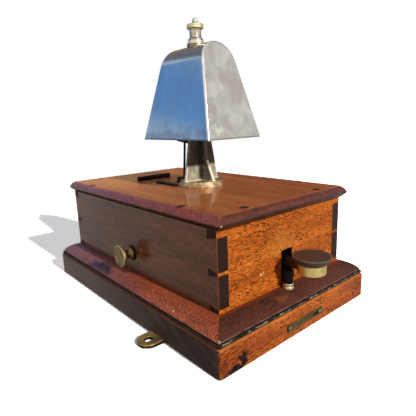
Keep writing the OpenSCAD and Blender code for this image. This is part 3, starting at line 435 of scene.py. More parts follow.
class Graph:
    """A shader node tree with short calls that add and link nodes."""

    def __init__(self, tree: bpy.types.NodeTree) -> None:
        """Keeps the tree."""
        self.tree = tree

    def feed(self, node: bpy.types.Node, feeds: Feeds) -> None:
        """Links sockets to a node, and sets plain values on its own sockets.

        Args:
            node: The node.
            feeds: Values or sockets for its inputs, by name or number.
        """
        for key, feed in feeds.items():
            if isinstance(feed, bpy.types.NodeSocket):
                self.tree.links.new(feed, node.inputs[key])
            else:
                node.inputs[key].default_value = feed

    def add(self, kind: str, feeds: Optional[Feeds] = None, **settings: object) -> bpy.types.Node:
        """Adds a node.

        Args:
            kind: Node type without its "ShaderNode" start.
            feeds: Values or sockets for its inputs, by name or number.
            settings: Properties of the node.

        Returns:
            The node.
        """
        node = self.tree.nodes.new("ShaderNode" + kind)
        for key, value in settings.items():
            setattr(node, key, value)
        self.feed(node, feeds or {})
        return node

    def math(self, operation: str, a: Feed, b: Feed = 0.0, clamp: bool = False) -> Socket:
        """Adds a Math node and returns its result."""
        return self.add("Math", {0: a, 1: b}, operation=operation, use_clamp=clamp).outputs[0]

    def times(self, a: Feed, b: Feed) -> Socket:
        """Multiplies two values."""
        return self.math("MULTIPLY", a, b)

    def plus(self, a: Feed, b: Feed) -> Socket:
        """Adds two values."""
        return self.math("ADD", a, b)

    def mix(self, fac: Feed, a: Feed, b: Feed, blend: str = "MIX") -> Socket:
        """Adds a colour Mix node and returns its result."""
        return self.add("Mix", {0: fac, 6: a, 7: b}, data_type="RGBA", blend_type=blend).outputs[2]

    def span(self, value: Feed, low: float, high: float, to_low: float = 0.0, to_high: float = 1.0) -> Socket:
        """Maps a value from one range to another, with soft ends inside it."""
        feeds = {0: value, 1: low, 2: high, 3: to_low, 4: to_high}
        return self.add("MapRange", feeds, interpolation_type="SMOOTHSTEP").outputs[0]

    def noise(
        self, vector: Socket, scale: Union[float, Spot], detail: float = 3.0, twist: float = 0.0
    ) -> Socket:
        """Adds noise.

        Args:
            vector: Coordinates in metres.
            scale: Cells per metre, one number or one per axis.
            detail: Octaves of finer noise.
            twist: Distortion of the pattern.

        Returns:
            The noise, 0 to 1.
        """
        cells = tuple(np.broadcast_to(np.asarray(scale, float), 3))
        spread = self.add("Mapping", {"Vector": vector, "Scale": cells}).outputs[0]
        feeds = {"Vector": spread, "Scale": 1.0, "Detail": detail, "Roughness": 0.55, "Distortion": twist}
        return self.add("TexNoise", feeds).outputs[0]

    def stray(self, vector: Socket, scale: Union[float, Spot], detail: float, reach: float) -> Socket:
        """Returns noise that strays to both sides of zero, over a reach."""
        return self.times(self.math("SUBTRACT", self.noise(vector, scale, detail), 0.5), reach)

    def part(self, group: bpy.types.NodeTree, feeds: Feeds) -> Outputs:
        """Places a node group, feeds its inputs and returns its outputs."""
        return self.add("Group", feeds, node_tree=group).outputs

    def split(self, vector: Socket) -> Outputs:
        """Returns the parts of a vector, by name or number."""
        return self.add("SeparateXYZ", {0: vector}).outputs

    def place(self) -> Socket:
        """Returns the object coordinates, in metres."""
        return self.add("TexCoord").outputs["Object"]

    def turned_place(self, degrees: float) -> Socket:
        """Returns the object coordinates turned about Y."""
        feeds = {"Vector": self.place(), "Rotation": (0.0, math.radians(degrees), 0.0)}
        return self.add("Mapping", feeds).outputs[0]

    def normal(self) -> Socket:
        """Returns the surface's normal in the object's axes."""
        return self.add("TexCoord").outputs["Normal"]

    def wear(self) -> Socket:
        """Returns the wear that the mesh carries."""
        return self.add("Attribute", attribute_name="wear").outputs["Fac"]

    def blot(self, centre: Spot, size: Spot, ragged: float, core: float) -> Socket:
        """Draws a ragged spot.

        Args:
            centre: Its middle, in millimetres.
            size: Its half-size along each axis, in millimetres.
            ragged: How far noise moves its rim, as a share of its size.
            core: The share of its size that is full.

        Returns:
            A mask, 1 inside and 0 outside.
        """
        half = np.asarray(size, float)
        feeds = {"Location": tuple(-np.asarray(centre) / half), "Scale": tuple(1.0 / (half * MM))}
        own = self.add("Mapping", {"Vector": self.place(), **feeds}).outputs[0]
        away = self.add("VectorMath", {0: own}, operation="LENGTH").outputs["Value"]
        stray = self.stray(self.place(), 160, 4.0, 3 * ragged)
        return self.span(self.plus(away, stray), 1.1, core)

    def facing(self, axis: str) -> Socket:
        """Returns how far the surface faces along an axis of the object, 0 to 1, either way."""
        return self.math("ABSOLUTE", self.split(self.normal())[axis])


class Effects:
    """Node groups that several finishes share, each built once."""

    def __init__(self) -> None:
        """Builds the groups."""
        self.figure = self._figure()
        self.rubbed = self._rubbed()
        self.patina = self._patina()

    @staticmethod
    def _open(
        name: str, inputs: Sequence[str], outputs: Sequence[str]
    ) -> tuple[Graph, Outputs, bpy.types.Node]:
        """Starts a group that takes a vector and values and gives values.

        Args:
            name: Name of the group.
            inputs: Names of the values it takes beside Vector.
            outputs: Names of the values it gives.

        Returns:
            Its graph, what comes in and its output node.
        """
        tree = bpy.data.node_groups.new(name, "ShaderNodeTree")
        tree.interface.new_socket(name="Vector", in_out="INPUT", socket_type="NodeSocketVector")
        for way, keys in (("INPUT", inputs), ("OUTPUT", outputs)):
            for key in keys:
                tree.interface.new_socket(name=key, in_out=way, socket_type="NodeSocketFloat")
        start, end = tree.nodes.new("NodeGroupInput"), tree.nodes.new("NodeGroupOutput")
        return Graph(tree), start.outputs, end

    def _figure(self) -> bpy.types.NodeTree:
        """Wood figure: slow bands, fine fibres and short dark pores, all drawn out along X."""
        g, start, end = self._open("wood_figure", ["Pore Length"], ["Band", "Fibre", "Pore", "Height"])
        v = start["Vector"]
        xyz = g.split(v)
        wander = g.plus(g.stray(v, (26, 34, 34), 2.0, 0.009), g.stray(v, (95, 60, 60), 1.0, 0.0032))
        y, z = g.plus(xyz[1], wander), g.plus(xyz[2], wander)
        bent = g.add("CombineXYZ", {0: xyz[0], 1: y, 2: z}).outputs[0]
        band = g.noise(bent, (6, 60, 60), 4.0, 0.6)
        fibre = g.noise(bent, (20, 560, 560), 3.0, 0.3)
        along = g.math("DIVIDE", xyz[0], start["Pore Length"])
        short = g.add("CombineXYZ", {0: along, 1: y, 2: z}).outputs[0]
        pore_cloud = g.noise(short, (1.0, 1450, 1450), 1.5, 0.3)
        gather = g.noise(v, (16, 44, 44), 2.0)
        pore = g.times(g.span(pore_cloud, 0.47, 0.58), g.span(gather, 0.25, 0.6, 0.55, 1.0))
        height = g.math("SUBTRACT", g.times(fibre, 0.35), pore)
        g.feed(end, {"Band": g.span(band, 0.3, 0.7), "Fibre": fibre, "Pore": pore, "Height": height})
        return g.tree

    def _rubbed(self) -> bpy.types.NodeTree:
        """A mask of rubbed edges: the wear of the mesh broken up by noise."""
        g, start, end = self._open("rubbed_edge", ["Wear", "Amount"], ["Mask"])
        broken = g.noise(start["Vector"], 90, 5.0, 0.4)
        raised = g.plus(g.times(start["Wear"], 0.62), g.times(broken, 0.6))
        mask = g.math("MULTIPLY", g.span(raised, 0.62, 0.95), start["Amount"], clamp=True)
        g.feed(end, {"Mask": mask})
        return g.tree

    def _patina(self) -> bpy.types.NodeTree:
        """Clouds of tarnish, fine scratches, small spots and upright smears on metal or old polish."""
        g, start, end = self._open("patina", ["Scale"], ["Cloud", "Scratch", "Spot", "Smear"])
        sized = {0: start["Vector"], 3: start["Scale"]}
        scaled = g.add("VectorMath", sized, operation="SCALE").outputs[0]
        cloud = g.noise(scaled, (40, 40, 30), 6.0, 0.8)
        scratch = g.noise(scaled, (700, 90, 110), 2.0, 0.6)
        spot = g.noise(scaled, 260, 3.0, 0.2)
        smear = g.noise(scaled, (110, 110, 22), 6.0, 1.6)
        g.feed(end, {
            "Cloud": g.span(cloud, 0.34, 0.68),
            "Scratch": g.span(scratch, 0.55, 0.72),
            "Spot": g.span(spot, 0.62, 0.74),
            "Smear": g.span(smear, 0.42, 0.62),
        })
        return g.tree


EFFECTS = Effects()
# What the darkest and the palest fibres multiply a wood's colour by
FIBRE_DARK: Colour = (0.66, 0.6, 0.56, 1.0)
FIBRE_PALE: Colour = (1.3, 1.3, 1.3, 1.0)


def bare_material(name: str) -> tuple[bpy.types.Material, Graph]:
    """Starts a material that has no nodes yet.

    Args:
        name: Name of the finish.

    Returns:
        The material and its graph.
    """
    material = bpy.data.materials.new(name)
    material.use_nodes = True
    material.node_tree.nodes.clear()
    return material, Graph(material.node_tree)


def start_material(name: str) -> tuple[bpy.types.Material, Graph, bpy.types.Node]:
    """Starts a material.

    Args:
        name: Name of the finish.

    Returns:
        The material, its graph and its Principled shader.
    """
    material, g = bare_material(name)
    shader = g.add("BsdfPrincipled")
    g.add("OutputMaterial", {"Surface": shader.outputs[0]})
    return material, g, shader


def patina(g: Graph, scale: float) -> Outputs:
    """Places the patina group at a scale and returns its outputs."""
    return g.part(EFFECTS.patina, {"Vector": g.place(), "Scale": scale})


def rub_mask(g: Graph, amount: float) -> Socket:
    """Places the rubbed-edge group on the mesh's own wear and returns its mask."""
    return g.part(EFFECTS.rubbed, {"Vector": g.place(), "Wear": g.wear(), "Amount": amount})["Mask"]


def bump(g: Graph, height: Socket, depth_mm: float, strength: float = 1.0) -> Socket:
    """Adds a Bump node for a height map of a given depth and returns its normal."""
    feeds = {"Height": height, "Distance": depth_mm * MM, "Strength": strength}
    return g.add("Bump", feeds).outputs[0]


def blend(a: Colour, b: Colour, share: float) -> Colour:
    """Returns a colour that is a share of the way from one to another."""
    return tuple(float(p + (q - p) * share) for p, q in zip(a, b))


@dataclass(frozen=True)
class Mark:
    """One stain, scuff or chip, or a patch of painted highlight or painted shade: where it sits and how far
    it reaches in millimetres, and its colour.
    """

    centre: tuple[float, float, float]
    size: tuple[float, float, float]
    colour: Colour
    cover: float = 0.85
    ragged: float = 0.5
    core: float = 0.7

    def paint(self, g: Graph, colour: Socket) -> Socket:
        """Lays the mark over a colour and returns the result."""
        spot = g.blot(self.centre, self.size, self.ragged, self.core)
        return g.mix(g.times(spot, self.cover), colour, self.colour)


@dataclass(frozen=True)
class AgedAndShadedSides:
    """Darker, greyer faces along one axis, and the ledge beyond a distance along it: partly the wood's own
    greying, partly painted shade for faces that turn away from the key lamp.
    """

    axis: str
    far: Colour
    near: Colour
    streak: Colour
    rubbed: Colour
    ledge: float

    def paint(self, g: Graph, colour: Socket, figure: Outputs) -> Socket:
        """Lays the darker, greyer look of the sides over a colour, partly painted shade.

        Args:
            g: The material's graph.
            colour: The wood's own colour.
            figure: The figure group's outputs, whose pores streak the aged faces.

        Returns:
            The colour with the sides darkened.
        """
        xyz = g.split(g.place())
        # Lighter and greyer towards -X, darker towards +X, with slanting streaks; partly painted shade
        aged_and_shaded = g.mix(g.span(xyz["X"], -0.13, 0.13), self.far, self.near)
        slant = g.noise(g.turned_place(-34.0), (14, 300, 120), 4.0, 0.5)
        aged_and_shaded = g.mix(g.span(slant, 0.46, 0.72), aged_and_shaded, self.streak)
        aged_and_shaded = g.mix(g.times(figure["Pore"], 0.3), aged_and_shaded, self.near)
        outer = g.span(g.math("ABSOLUTE", xyz[self.axis]), self.ledge * MM, (self.ledge + 0.5) * MM)
        outer = g.times(outer, g.span(g.facing("X"), 0.7, 0.4))
        aged_and_shaded = g.mix(g.span(g.facing("Z"), 0.5, 0.9), aged_and_shaded, self.rubbed)
        return g.mix(g.math("MAXIMUM", g.span(g.facing(self.axis), 0.62, 0.9), outer), colour, aged_and_shaded)


@dataclass(frozen=True)
class WoodFinish:
    """Polished wood with figure, pores, dark end grain, rubbed edges and its own marks."""

    name: str
    light: Colour
    dark: Colour
    pore: Colour
    end_grain: Colour
    rubbed: Colour
    grain: Grain = Grain.X
    pore_length: float = 0.006
    pore_depth: float = 0.8
    roughness: float = 0.42
    specular: float = 0.25
    coat: float = 0.0
    coat_rough: float = 0.1
    wear: float = 0.5
    grime: float = 0.3
    relief_mm: float = 0.1
    # Darker, greyer sides along one axis: partly the wood's own greying, partly painted shade
    aged_and_shaded: Optional[AgedAndShadedSides] = None
    marks: tuple[Mark, ...] = ()

    def aligned(self, g: Graph) -> Socket:
        """Returns object coordinates turned so that the grain runs along X."""
        place = g.place()
        if self.grain is Grain.X:
            return place
        xyz = g.split(place)
        swapped = g.add("CombineXYZ", {i: xyz[k] for i, k in enumerate((1, 0, 2))}).outputs[0]
        if self.grain is Grain.Y:
            return swapped
        ends = g.span(g.facing("X"), 0.3, 0.42)
        return g.add("Mix", {0: ends, 4: place, 5: swapped}, data_type="VECTOR").outputs[1]

    def body(self, g: Graph) -> tuple[Socket, Outputs]:
        """Draws the long-grain colour.

        Args:
            g: The material's graph.

        Returns:
            The colour and the figure group's outputs.
        """
        figure = g.part(EFFECTS.figure, {"Vector": self.aligned(g), "Pore Length": self.pore_length})
        colour = g.mix(figure["Band"], self.dark, self.light)
        streak = g.mix(figure["Fibre"], FIBRE_DARK, FIBRE_PALE)
        colour = g.mix(0.75, colour, streak, "MULTIPLY")
        pores = g.times(figure["Pore"], self.pore_depth)
        return g.mix(pores, colour, self.pore), figure

    def worn(self, g: Graph, colour: Socket) -> Socket:
        """Rubs the edges through to a paler wood and returns the colour."""
        rubbed: Feed = self.rubbed
        if self.aged_and_shaded is not None:
            rubbed = g.mix(g.span(g.facing(self.aged_and_shaded.axis), 0.3, 0.6), self.rubbed, self.aged_and_shaded.rubbed)
        return g.mix(rub_mask(g, self.wear), colour, rubbed)

    def marked(self, g: Graph, colour: Socket) -> Socket:
        """Lays every mark over the colour and returns it."""
        for mark in self.marks:
            colour = mark.paint(g, colour)
        return colour

    def gloss(self) -> Feeds:
        """Returns the shader values that are the same all over the wood."""
        return {"Specular IOR Level": self.specular, "Coat Roughness": self.coat_rough}

    def material(self) -> bpy.types.Material:
        """Builds the finish."""
        material, g, shader = start_material(self.name)
        colour, figure = self.body(g)
        grime = patina(g, 0.55)
        colour = g.mix(g.times(grime["Cloud"], self.grime), colour, self.dark)
        # Darker sides, partly painted shade
        if self.aged_and_shaded is not None:
            colour = self.aged_and_shaded.paint(g, colour, figure)
        coat: Feed = self.coat
        if self.grain is not Grain.ROUND:
            ends = g.span(g.facing(self.grain.value), 0.8, 0.92)
            coat = g.span(ends, 0.0, 1.0, self.coat, 0.0)
            mottle = g.noise(g.place(), 420, 3.0)
            rings = g.mix(g.span(mottle, 0.35, 0.7), self.end_grain, blend(self.end_grain, self.dark, 0.1))
            colour = g.mix(ends, colour, rings)
        colour = self.marked(g, self.worn(g, colour))
        rough = g.span(figure["Fibre"], 0.2, 0.8, self.roughness + 0.08, self.roughness - 0.05)
        normal = bump(g, figure["Height"], self.relief_mm, 0.6)
        g.feed(shader, {"Base Color": colour, "Roughness": rough, "Normal": normal, "Coat Weight": coat})
        g.feed(shader, self.gloss())
        return material


@dataclass(frozen=True)
class MouldingFinish:
    """The base's spotted moulding: red on the long sides, dark beyond the mitres, over a black bead."""

    name: str
    wood: WoodFinish
    far: Colour
    spots: Colour
    ends: Colour
    ledge: Colour
    nose: Colour
    black: Colour
    crest: Colour
    bead_top: float
    ledge_low: float
    mitre: float

    def material(self) -> bpy.types.Material:
        """Builds the finish: heights in millimetres part the bead, the nose, the slope and the ledge."""
        material, g, shader = start_material(self.name)
        colour, figure = self.wood.body(g)
        place = g.place()
        xyz = g.split(place)
        height = g.times(xyz["Z"], 1000.0)
        cloud = patina(g, 0.7)
        colour = g.mix(g.times(g.span(xyz["X"], 0.06, -0.12), 0.75), colour, self.far)
        spotted = g.noise(place, 760, 1.5, 0.3)
        colour = g.mix(g.times(g.span(spotted, 0.46, 0.66), 0.85), colour, self.spots)
        colour = g.mix(g.times(cloud["Cloud"], 0.25), colour, self.spots)
        wander = g.times(g.noise(place, (30, 30, 20), 4.0, 0.5), 2.6)
        raised = g.plus(height, wander)
        near = g.span(xyz["X"], -0.1, 0.05)
        high = g.times(g.span(raised, self.ledge_low, self.ledge_low + 1.6), near)
        colour = g.mix(g.times(high, 0.35), colour, self.ledge)
        across = g.math("SUBTRACT", g.math("ABSOLUTE", xyz["X"]), g.math("ABSOLUTE", xyz["Y"]))
        ends = g.span(across, (self.mitre - 0.4) * MM, (self.mitre + 0.4) * MM)
        dusky = g.mix(g.span(spotted, 0.4, 0.62), blend(self.ends, self.wood.light, 0.12), self.ends)
        dusky = g.mix(g.times(cloud["Cloud"], 0.5), dusky, blend(self.ends, self.black, 0.45))
        line = g.times(g.span(raised, self.ledge_low + 2.6, self.ledge_low + 3.2), 0.3)
        dusky = g.mix(line, dusky, self.ledge)
        colour = g.mix(ends, colour, dusky)
        # A pale mauve line along the nose over the bead, stronger on the ends where the key lamp falls and
        # broken by noise: partly worn arris, partly painted highlight
        lip = g.span(height, self.bead_top + 1.0, self.bead_top + 0.3)
        lip = g.times(lip, g.span(ends, 0.0, 1.0, 0.4, 1.0))
        chips_and_highlight = g.span(g.noise(place, 150, 4.0, 0.5), 0.34, 0.56, 0.15, 0.85)
        colour = g.mix(g.times(lip, chips_and_highlight), colour, self.nose)
        bead = g.span(height, self.bead_top + 0.12, self.bead_top - 0.12)
        bare = g.span(height, self.bead_top - 1.0, self.bead_top - 1.5)
        bare = g.times(bare, g.span(ends, 1.0, 0.0, 0.0, 0.7))
        colour = g.mix(bead, colour, g.mix(bare, self.black, self.ends))
        # A pale broken line along the bead's crest, stronger on the ends where the key lamp falls: partly
        # scuffed paint, partly painted highlight
        worn = g.wear()
        scuffs_and_highlight = g.span(g.noise(place, (120, 120, 500), 4.0, 0.6), 0.48, 0.62)
        crest = g.times(g.times(worn, scuffs_and_highlight), g.span(ends, 0.0, 1.0, 0.05, 0.5))
        colour = g.mix(g.times(crest, bead), colour, self.crest)
        colour = self.wood.marked(g, colour)
        rough = g.span(spotted, 0.35, 0.65, self.wood.roughness - 0.06, self.wood.roughness + 0.12)
        rough = g.plus(rough, g.times(bead, g.span(ends, 0.0, 1.0, 0.3, -0.16)))
        normal = bump(g, g.math("SUBTRACT", figure["Height"], spotted), self.wood.relief_mm, 0.6)
        coat = g.times(bead, 0.08)
        g.feed(shader, {"Base Color": colour, "Roughness": rough, "Normal": normal, "Coat Weight": coat})
        g.feed(shader, self.wood.gloss())
        return material


@dataclass(frozen=True)
class TopFinish:
    """The top board: a polished face with a mottled dark red edge, over a black band at its ends, partly
    streaks and partly painted shade, with painted shade where it faces down.
    """

    name: str
    wood: WoodFinish
    edge: Colour
    edge_cloud: Colour
    ends: Colour
    # The near-black under colour darkens specks and streaks, and paints shade on what faces down and on the
    # end edges up to band mm over the board's underside
    under: Colour
    band: float

    def material(self) -> bpy.types.Material:
        """Builds the finish: what faces up is the board's face, the rest its darker moulding, darkest as
        painted shade where it faces down.
        """
        material, g, shader = start_material(self.name)
        colour, figure = self.wood.body(g)
        place = g.place()
        stain = g.times(g.span(g.noise(place, (16, 26, 16), 4.0, 0.7), 0.5, 0.72), 0.35)
        colour = g.mix(stain, colour, self.wood.dark)
        up = g.split(g.normal())["Z"]
        ragged = g.times(g.noise(place, 60, 4.0, 0.5), 0.1)
        side = g.span(g.math("SUBTRACT", up, ragged), 0.93, 0.78)
        cloud = patina(g, 1.1)
        xyz = g.split(place)
        far = g.span(xyz["X"], 0.09, -0.08, 0.0, 0.6)
        edge = g.mix(g.math("MAXIMUM", g.times(cloud["Cloud"], 0.8), far), self.edge, self.edge_cloud)
        specks = g.span(g.noise(place, 620, 2.0, 0.5), 0.48, 0.62)
        edge = g.mix(g.times(specks, 0.72), edge, self.under)
        edge = g.mix(g.times(figure["Pore"], 0.5), edge, self.wood.pore)
        streak = g.span(g.noise(place, (40, 160, 400), 4.0, 0.6), 0.45, 0.62, 0.0, 0.7)
        # Painted shade: the end edges go near-black up to the band's height, with dark streaks, and
        # everything that faces down goes near-black
        low = g.span(xyz["Z"], (LID + self.band + 0.6) * MM, (LID + self.band - 0.6) * MM)
        dusky = g.mix(g.math("MAXIMUM", streak, low), self.ends, self.under)
        edge = g.mix(g.span(g.facing("X"), 0.3, 0.6), edge, dusky)
        edge = g.mix(g.span(up, -0.02, -0.3), edge, self.under)
        colour = g.mix(g.times(side, 0.94), colour, edge)
        colour = self.wood.marked(g, self.wood.worn(g, colour))
        rough = g.span(cloud["Cloud"], 0.0, 1.0, self.wood.roughness, self.wood.roughness + 0.1)
        normal = bump(g, figure["Height"], self.wood.relief_mm, 0.5)
        coat = g.span(side, 0.0, 1.0, self.wood.coat, 0.1)
        g.feed(shader, {"Base Color": colour, "Roughness": rough, "Normal": normal, "Coat Weight": coat})
        g.feed(shader, self.wood.gloss())
        return material


@dataclass(frozen=True)
class MetalFinish:
    """Bare metal with tarnish, fine scratches and edges rubbed bright, and on some pieces painted shade in
    hollows and a painted shadow above a height.
    """

    name: str
    bright: Colour
    tarnish: Colour
    rubbed: Colour
    low_rough: float = 0.22
    high_rough: float = 0.45
    cover: float = 0.6
    scale: float = 1.0
    dent_mm: float = 0.05
    wear: float = 0.8
    metallic: float = 1.0
    specular: float = 0.4
    smear: float = 0.0
    ends: float = 0.0
    # The next two fields paint shade: how dark the hollows go where the mesh's wear is negative, and the
    # height above which the colour darkens as a painted shadow
    deep: float = 0.0
    painted_shadow_from: Optional[float] = None
    foot_top: Optional[float] = None
    foot: Colour = BLACK
    marks: tuple[Mark, ...] = ()

    def material(self) -> bpy.types.Material:
        """Builds the finish."""
        material, g, shader = start_material(self.name)
        place = g.place()
        age = patina(g, self.scale)
        colour = g.mix(g.times(age["Cloud"], self.cover), self.bright, self.tarnish)
        colour = g.mix(g.times(age["Spot"], 0.5 * self.cover), colour, self.tarnish)
        colour = g.mix(g.times(age["Smear"], self.smear), colour, self.tarnish)
        colour = g.mix(g.times(age["Scratch"], 0.3 * self.cover), colour, self.rubbed)
        if self.ends > 0:
            hazy = g.span(g.noise(place, (50, 50, 40), 8.0, 0.8), 0.36, 0.66, 0.0, self.ends)
            colour = g.mix(g.times(g.span(g.facing("X"), 0.8, 0.95), hazy), colour, self.tarnish)
        worn = g.wear()
        rub = rub_mask(g, self.wear)
        colour = g.mix(rub, colour, self.rubbed)
        for mark in self.marks:
            colour = mark.paint(g, colour)
        # The near-black of the painted shade: the hollows, where the mesh's wear is negative, darken towards
        # it, as does the painted shadow that follows
        dark = blend(self.tarnish, BLACK, 0.85)
        height = g.split(place)["Z"]
        if self.deep > 0:
            colour = g.mix(g.span(worn, -0.05, -0.8, 0.0, self.deep), colour, dark)
        # Painted shadow: the colour darkens over a height, for the part of a piece that lies in another's
        # shadow
        if self.painted_shadow_from is not None:
            darkening = g.span(height, self.painted_shadow_from * MM, (self.painted_shadow_from + 5) * MM, 0.0, 0.72)
            colour = g.mix(darkening, colour, dark)
        metallic: Feed = self.metallic
        if self.foot_top is not None:
            low = g.span(height, (self.foot_top + 0.5) * MM, (self.foot_top - 0.3) * MM)
            gilt = g.mix(g.times(age["Cloud"], 0.5), self.foot, self.rubbed)
            colour = g.mix(low, colour, g.mix(rub, gilt, self.rubbed))
            metallic = g.span(low, 0.0, 1.0, self.metallic, 0.9)
        rough = g.span(age["Cloud"], 0.0, 1.0, self.low_rough, self.high_rough)
        rough = g.plus(rough, g.times(age["Scratch"], 0.06))
        rough = g.plus(rough, g.times(g.span(worn, 0.0, 1.0), 0.1))
        dents = g.plus(age["Cloud"], g.times(age["Scratch"], -0.15))
        dents = g.times(dents, g.span(worn, 0.0, 0.4, 1.0, 0.0))
        normal = bump(g, dents, self.dent_mm, 0.5)
        g.feed(shader, {"Base Color": colour, "Roughness": rough, "Normal": normal, "Metallic": metallic})
        g.feed(shader, {"Specular IOR Level": self.specular})
        return material


@dataclass(frozen=True)
class DarkFinish:
    """Black paint, ebonite, leather or wound silk: a dark coat with a bloom and rubbed edges."""

    name: str
    base: Colour
    bloom: Colour
    rubbed: Colour
    roughness: float = 0.45
    grain_mm: float = 0.04
    scale: float = 1.0
    wear: float = 0.6
    specular: float = 0.2

    def material(self) -> bpy.types.Material:
        """Builds the finish."""
        material, g, shader = start_material(self.name)
        place = g.place()
        age = patina(g, self.scale)
        colour = g.mix(g.times(age["Cloud"], 0.7), self.base, self.bloom)
        rub = rub_mask(g, self.wear)
        colour = g.mix(rub, colour, self.rubbed)
        rough = g.span(age["Cloud"], 0.0, 1.0, self.roughness - 0.08, self.roughness + 0.1)
        fine = g.noise(place, 900, 2.0)
        normal = bump(g, g.plus(fine, age["Scratch"]), self.grain_mm, 0.5)
        g.feed(shader, {"Base Color": colour, "Roughness": rough, "Normal": normal})
        g.feed(shader, {"Specular IOR Level": self.specular})
        return material


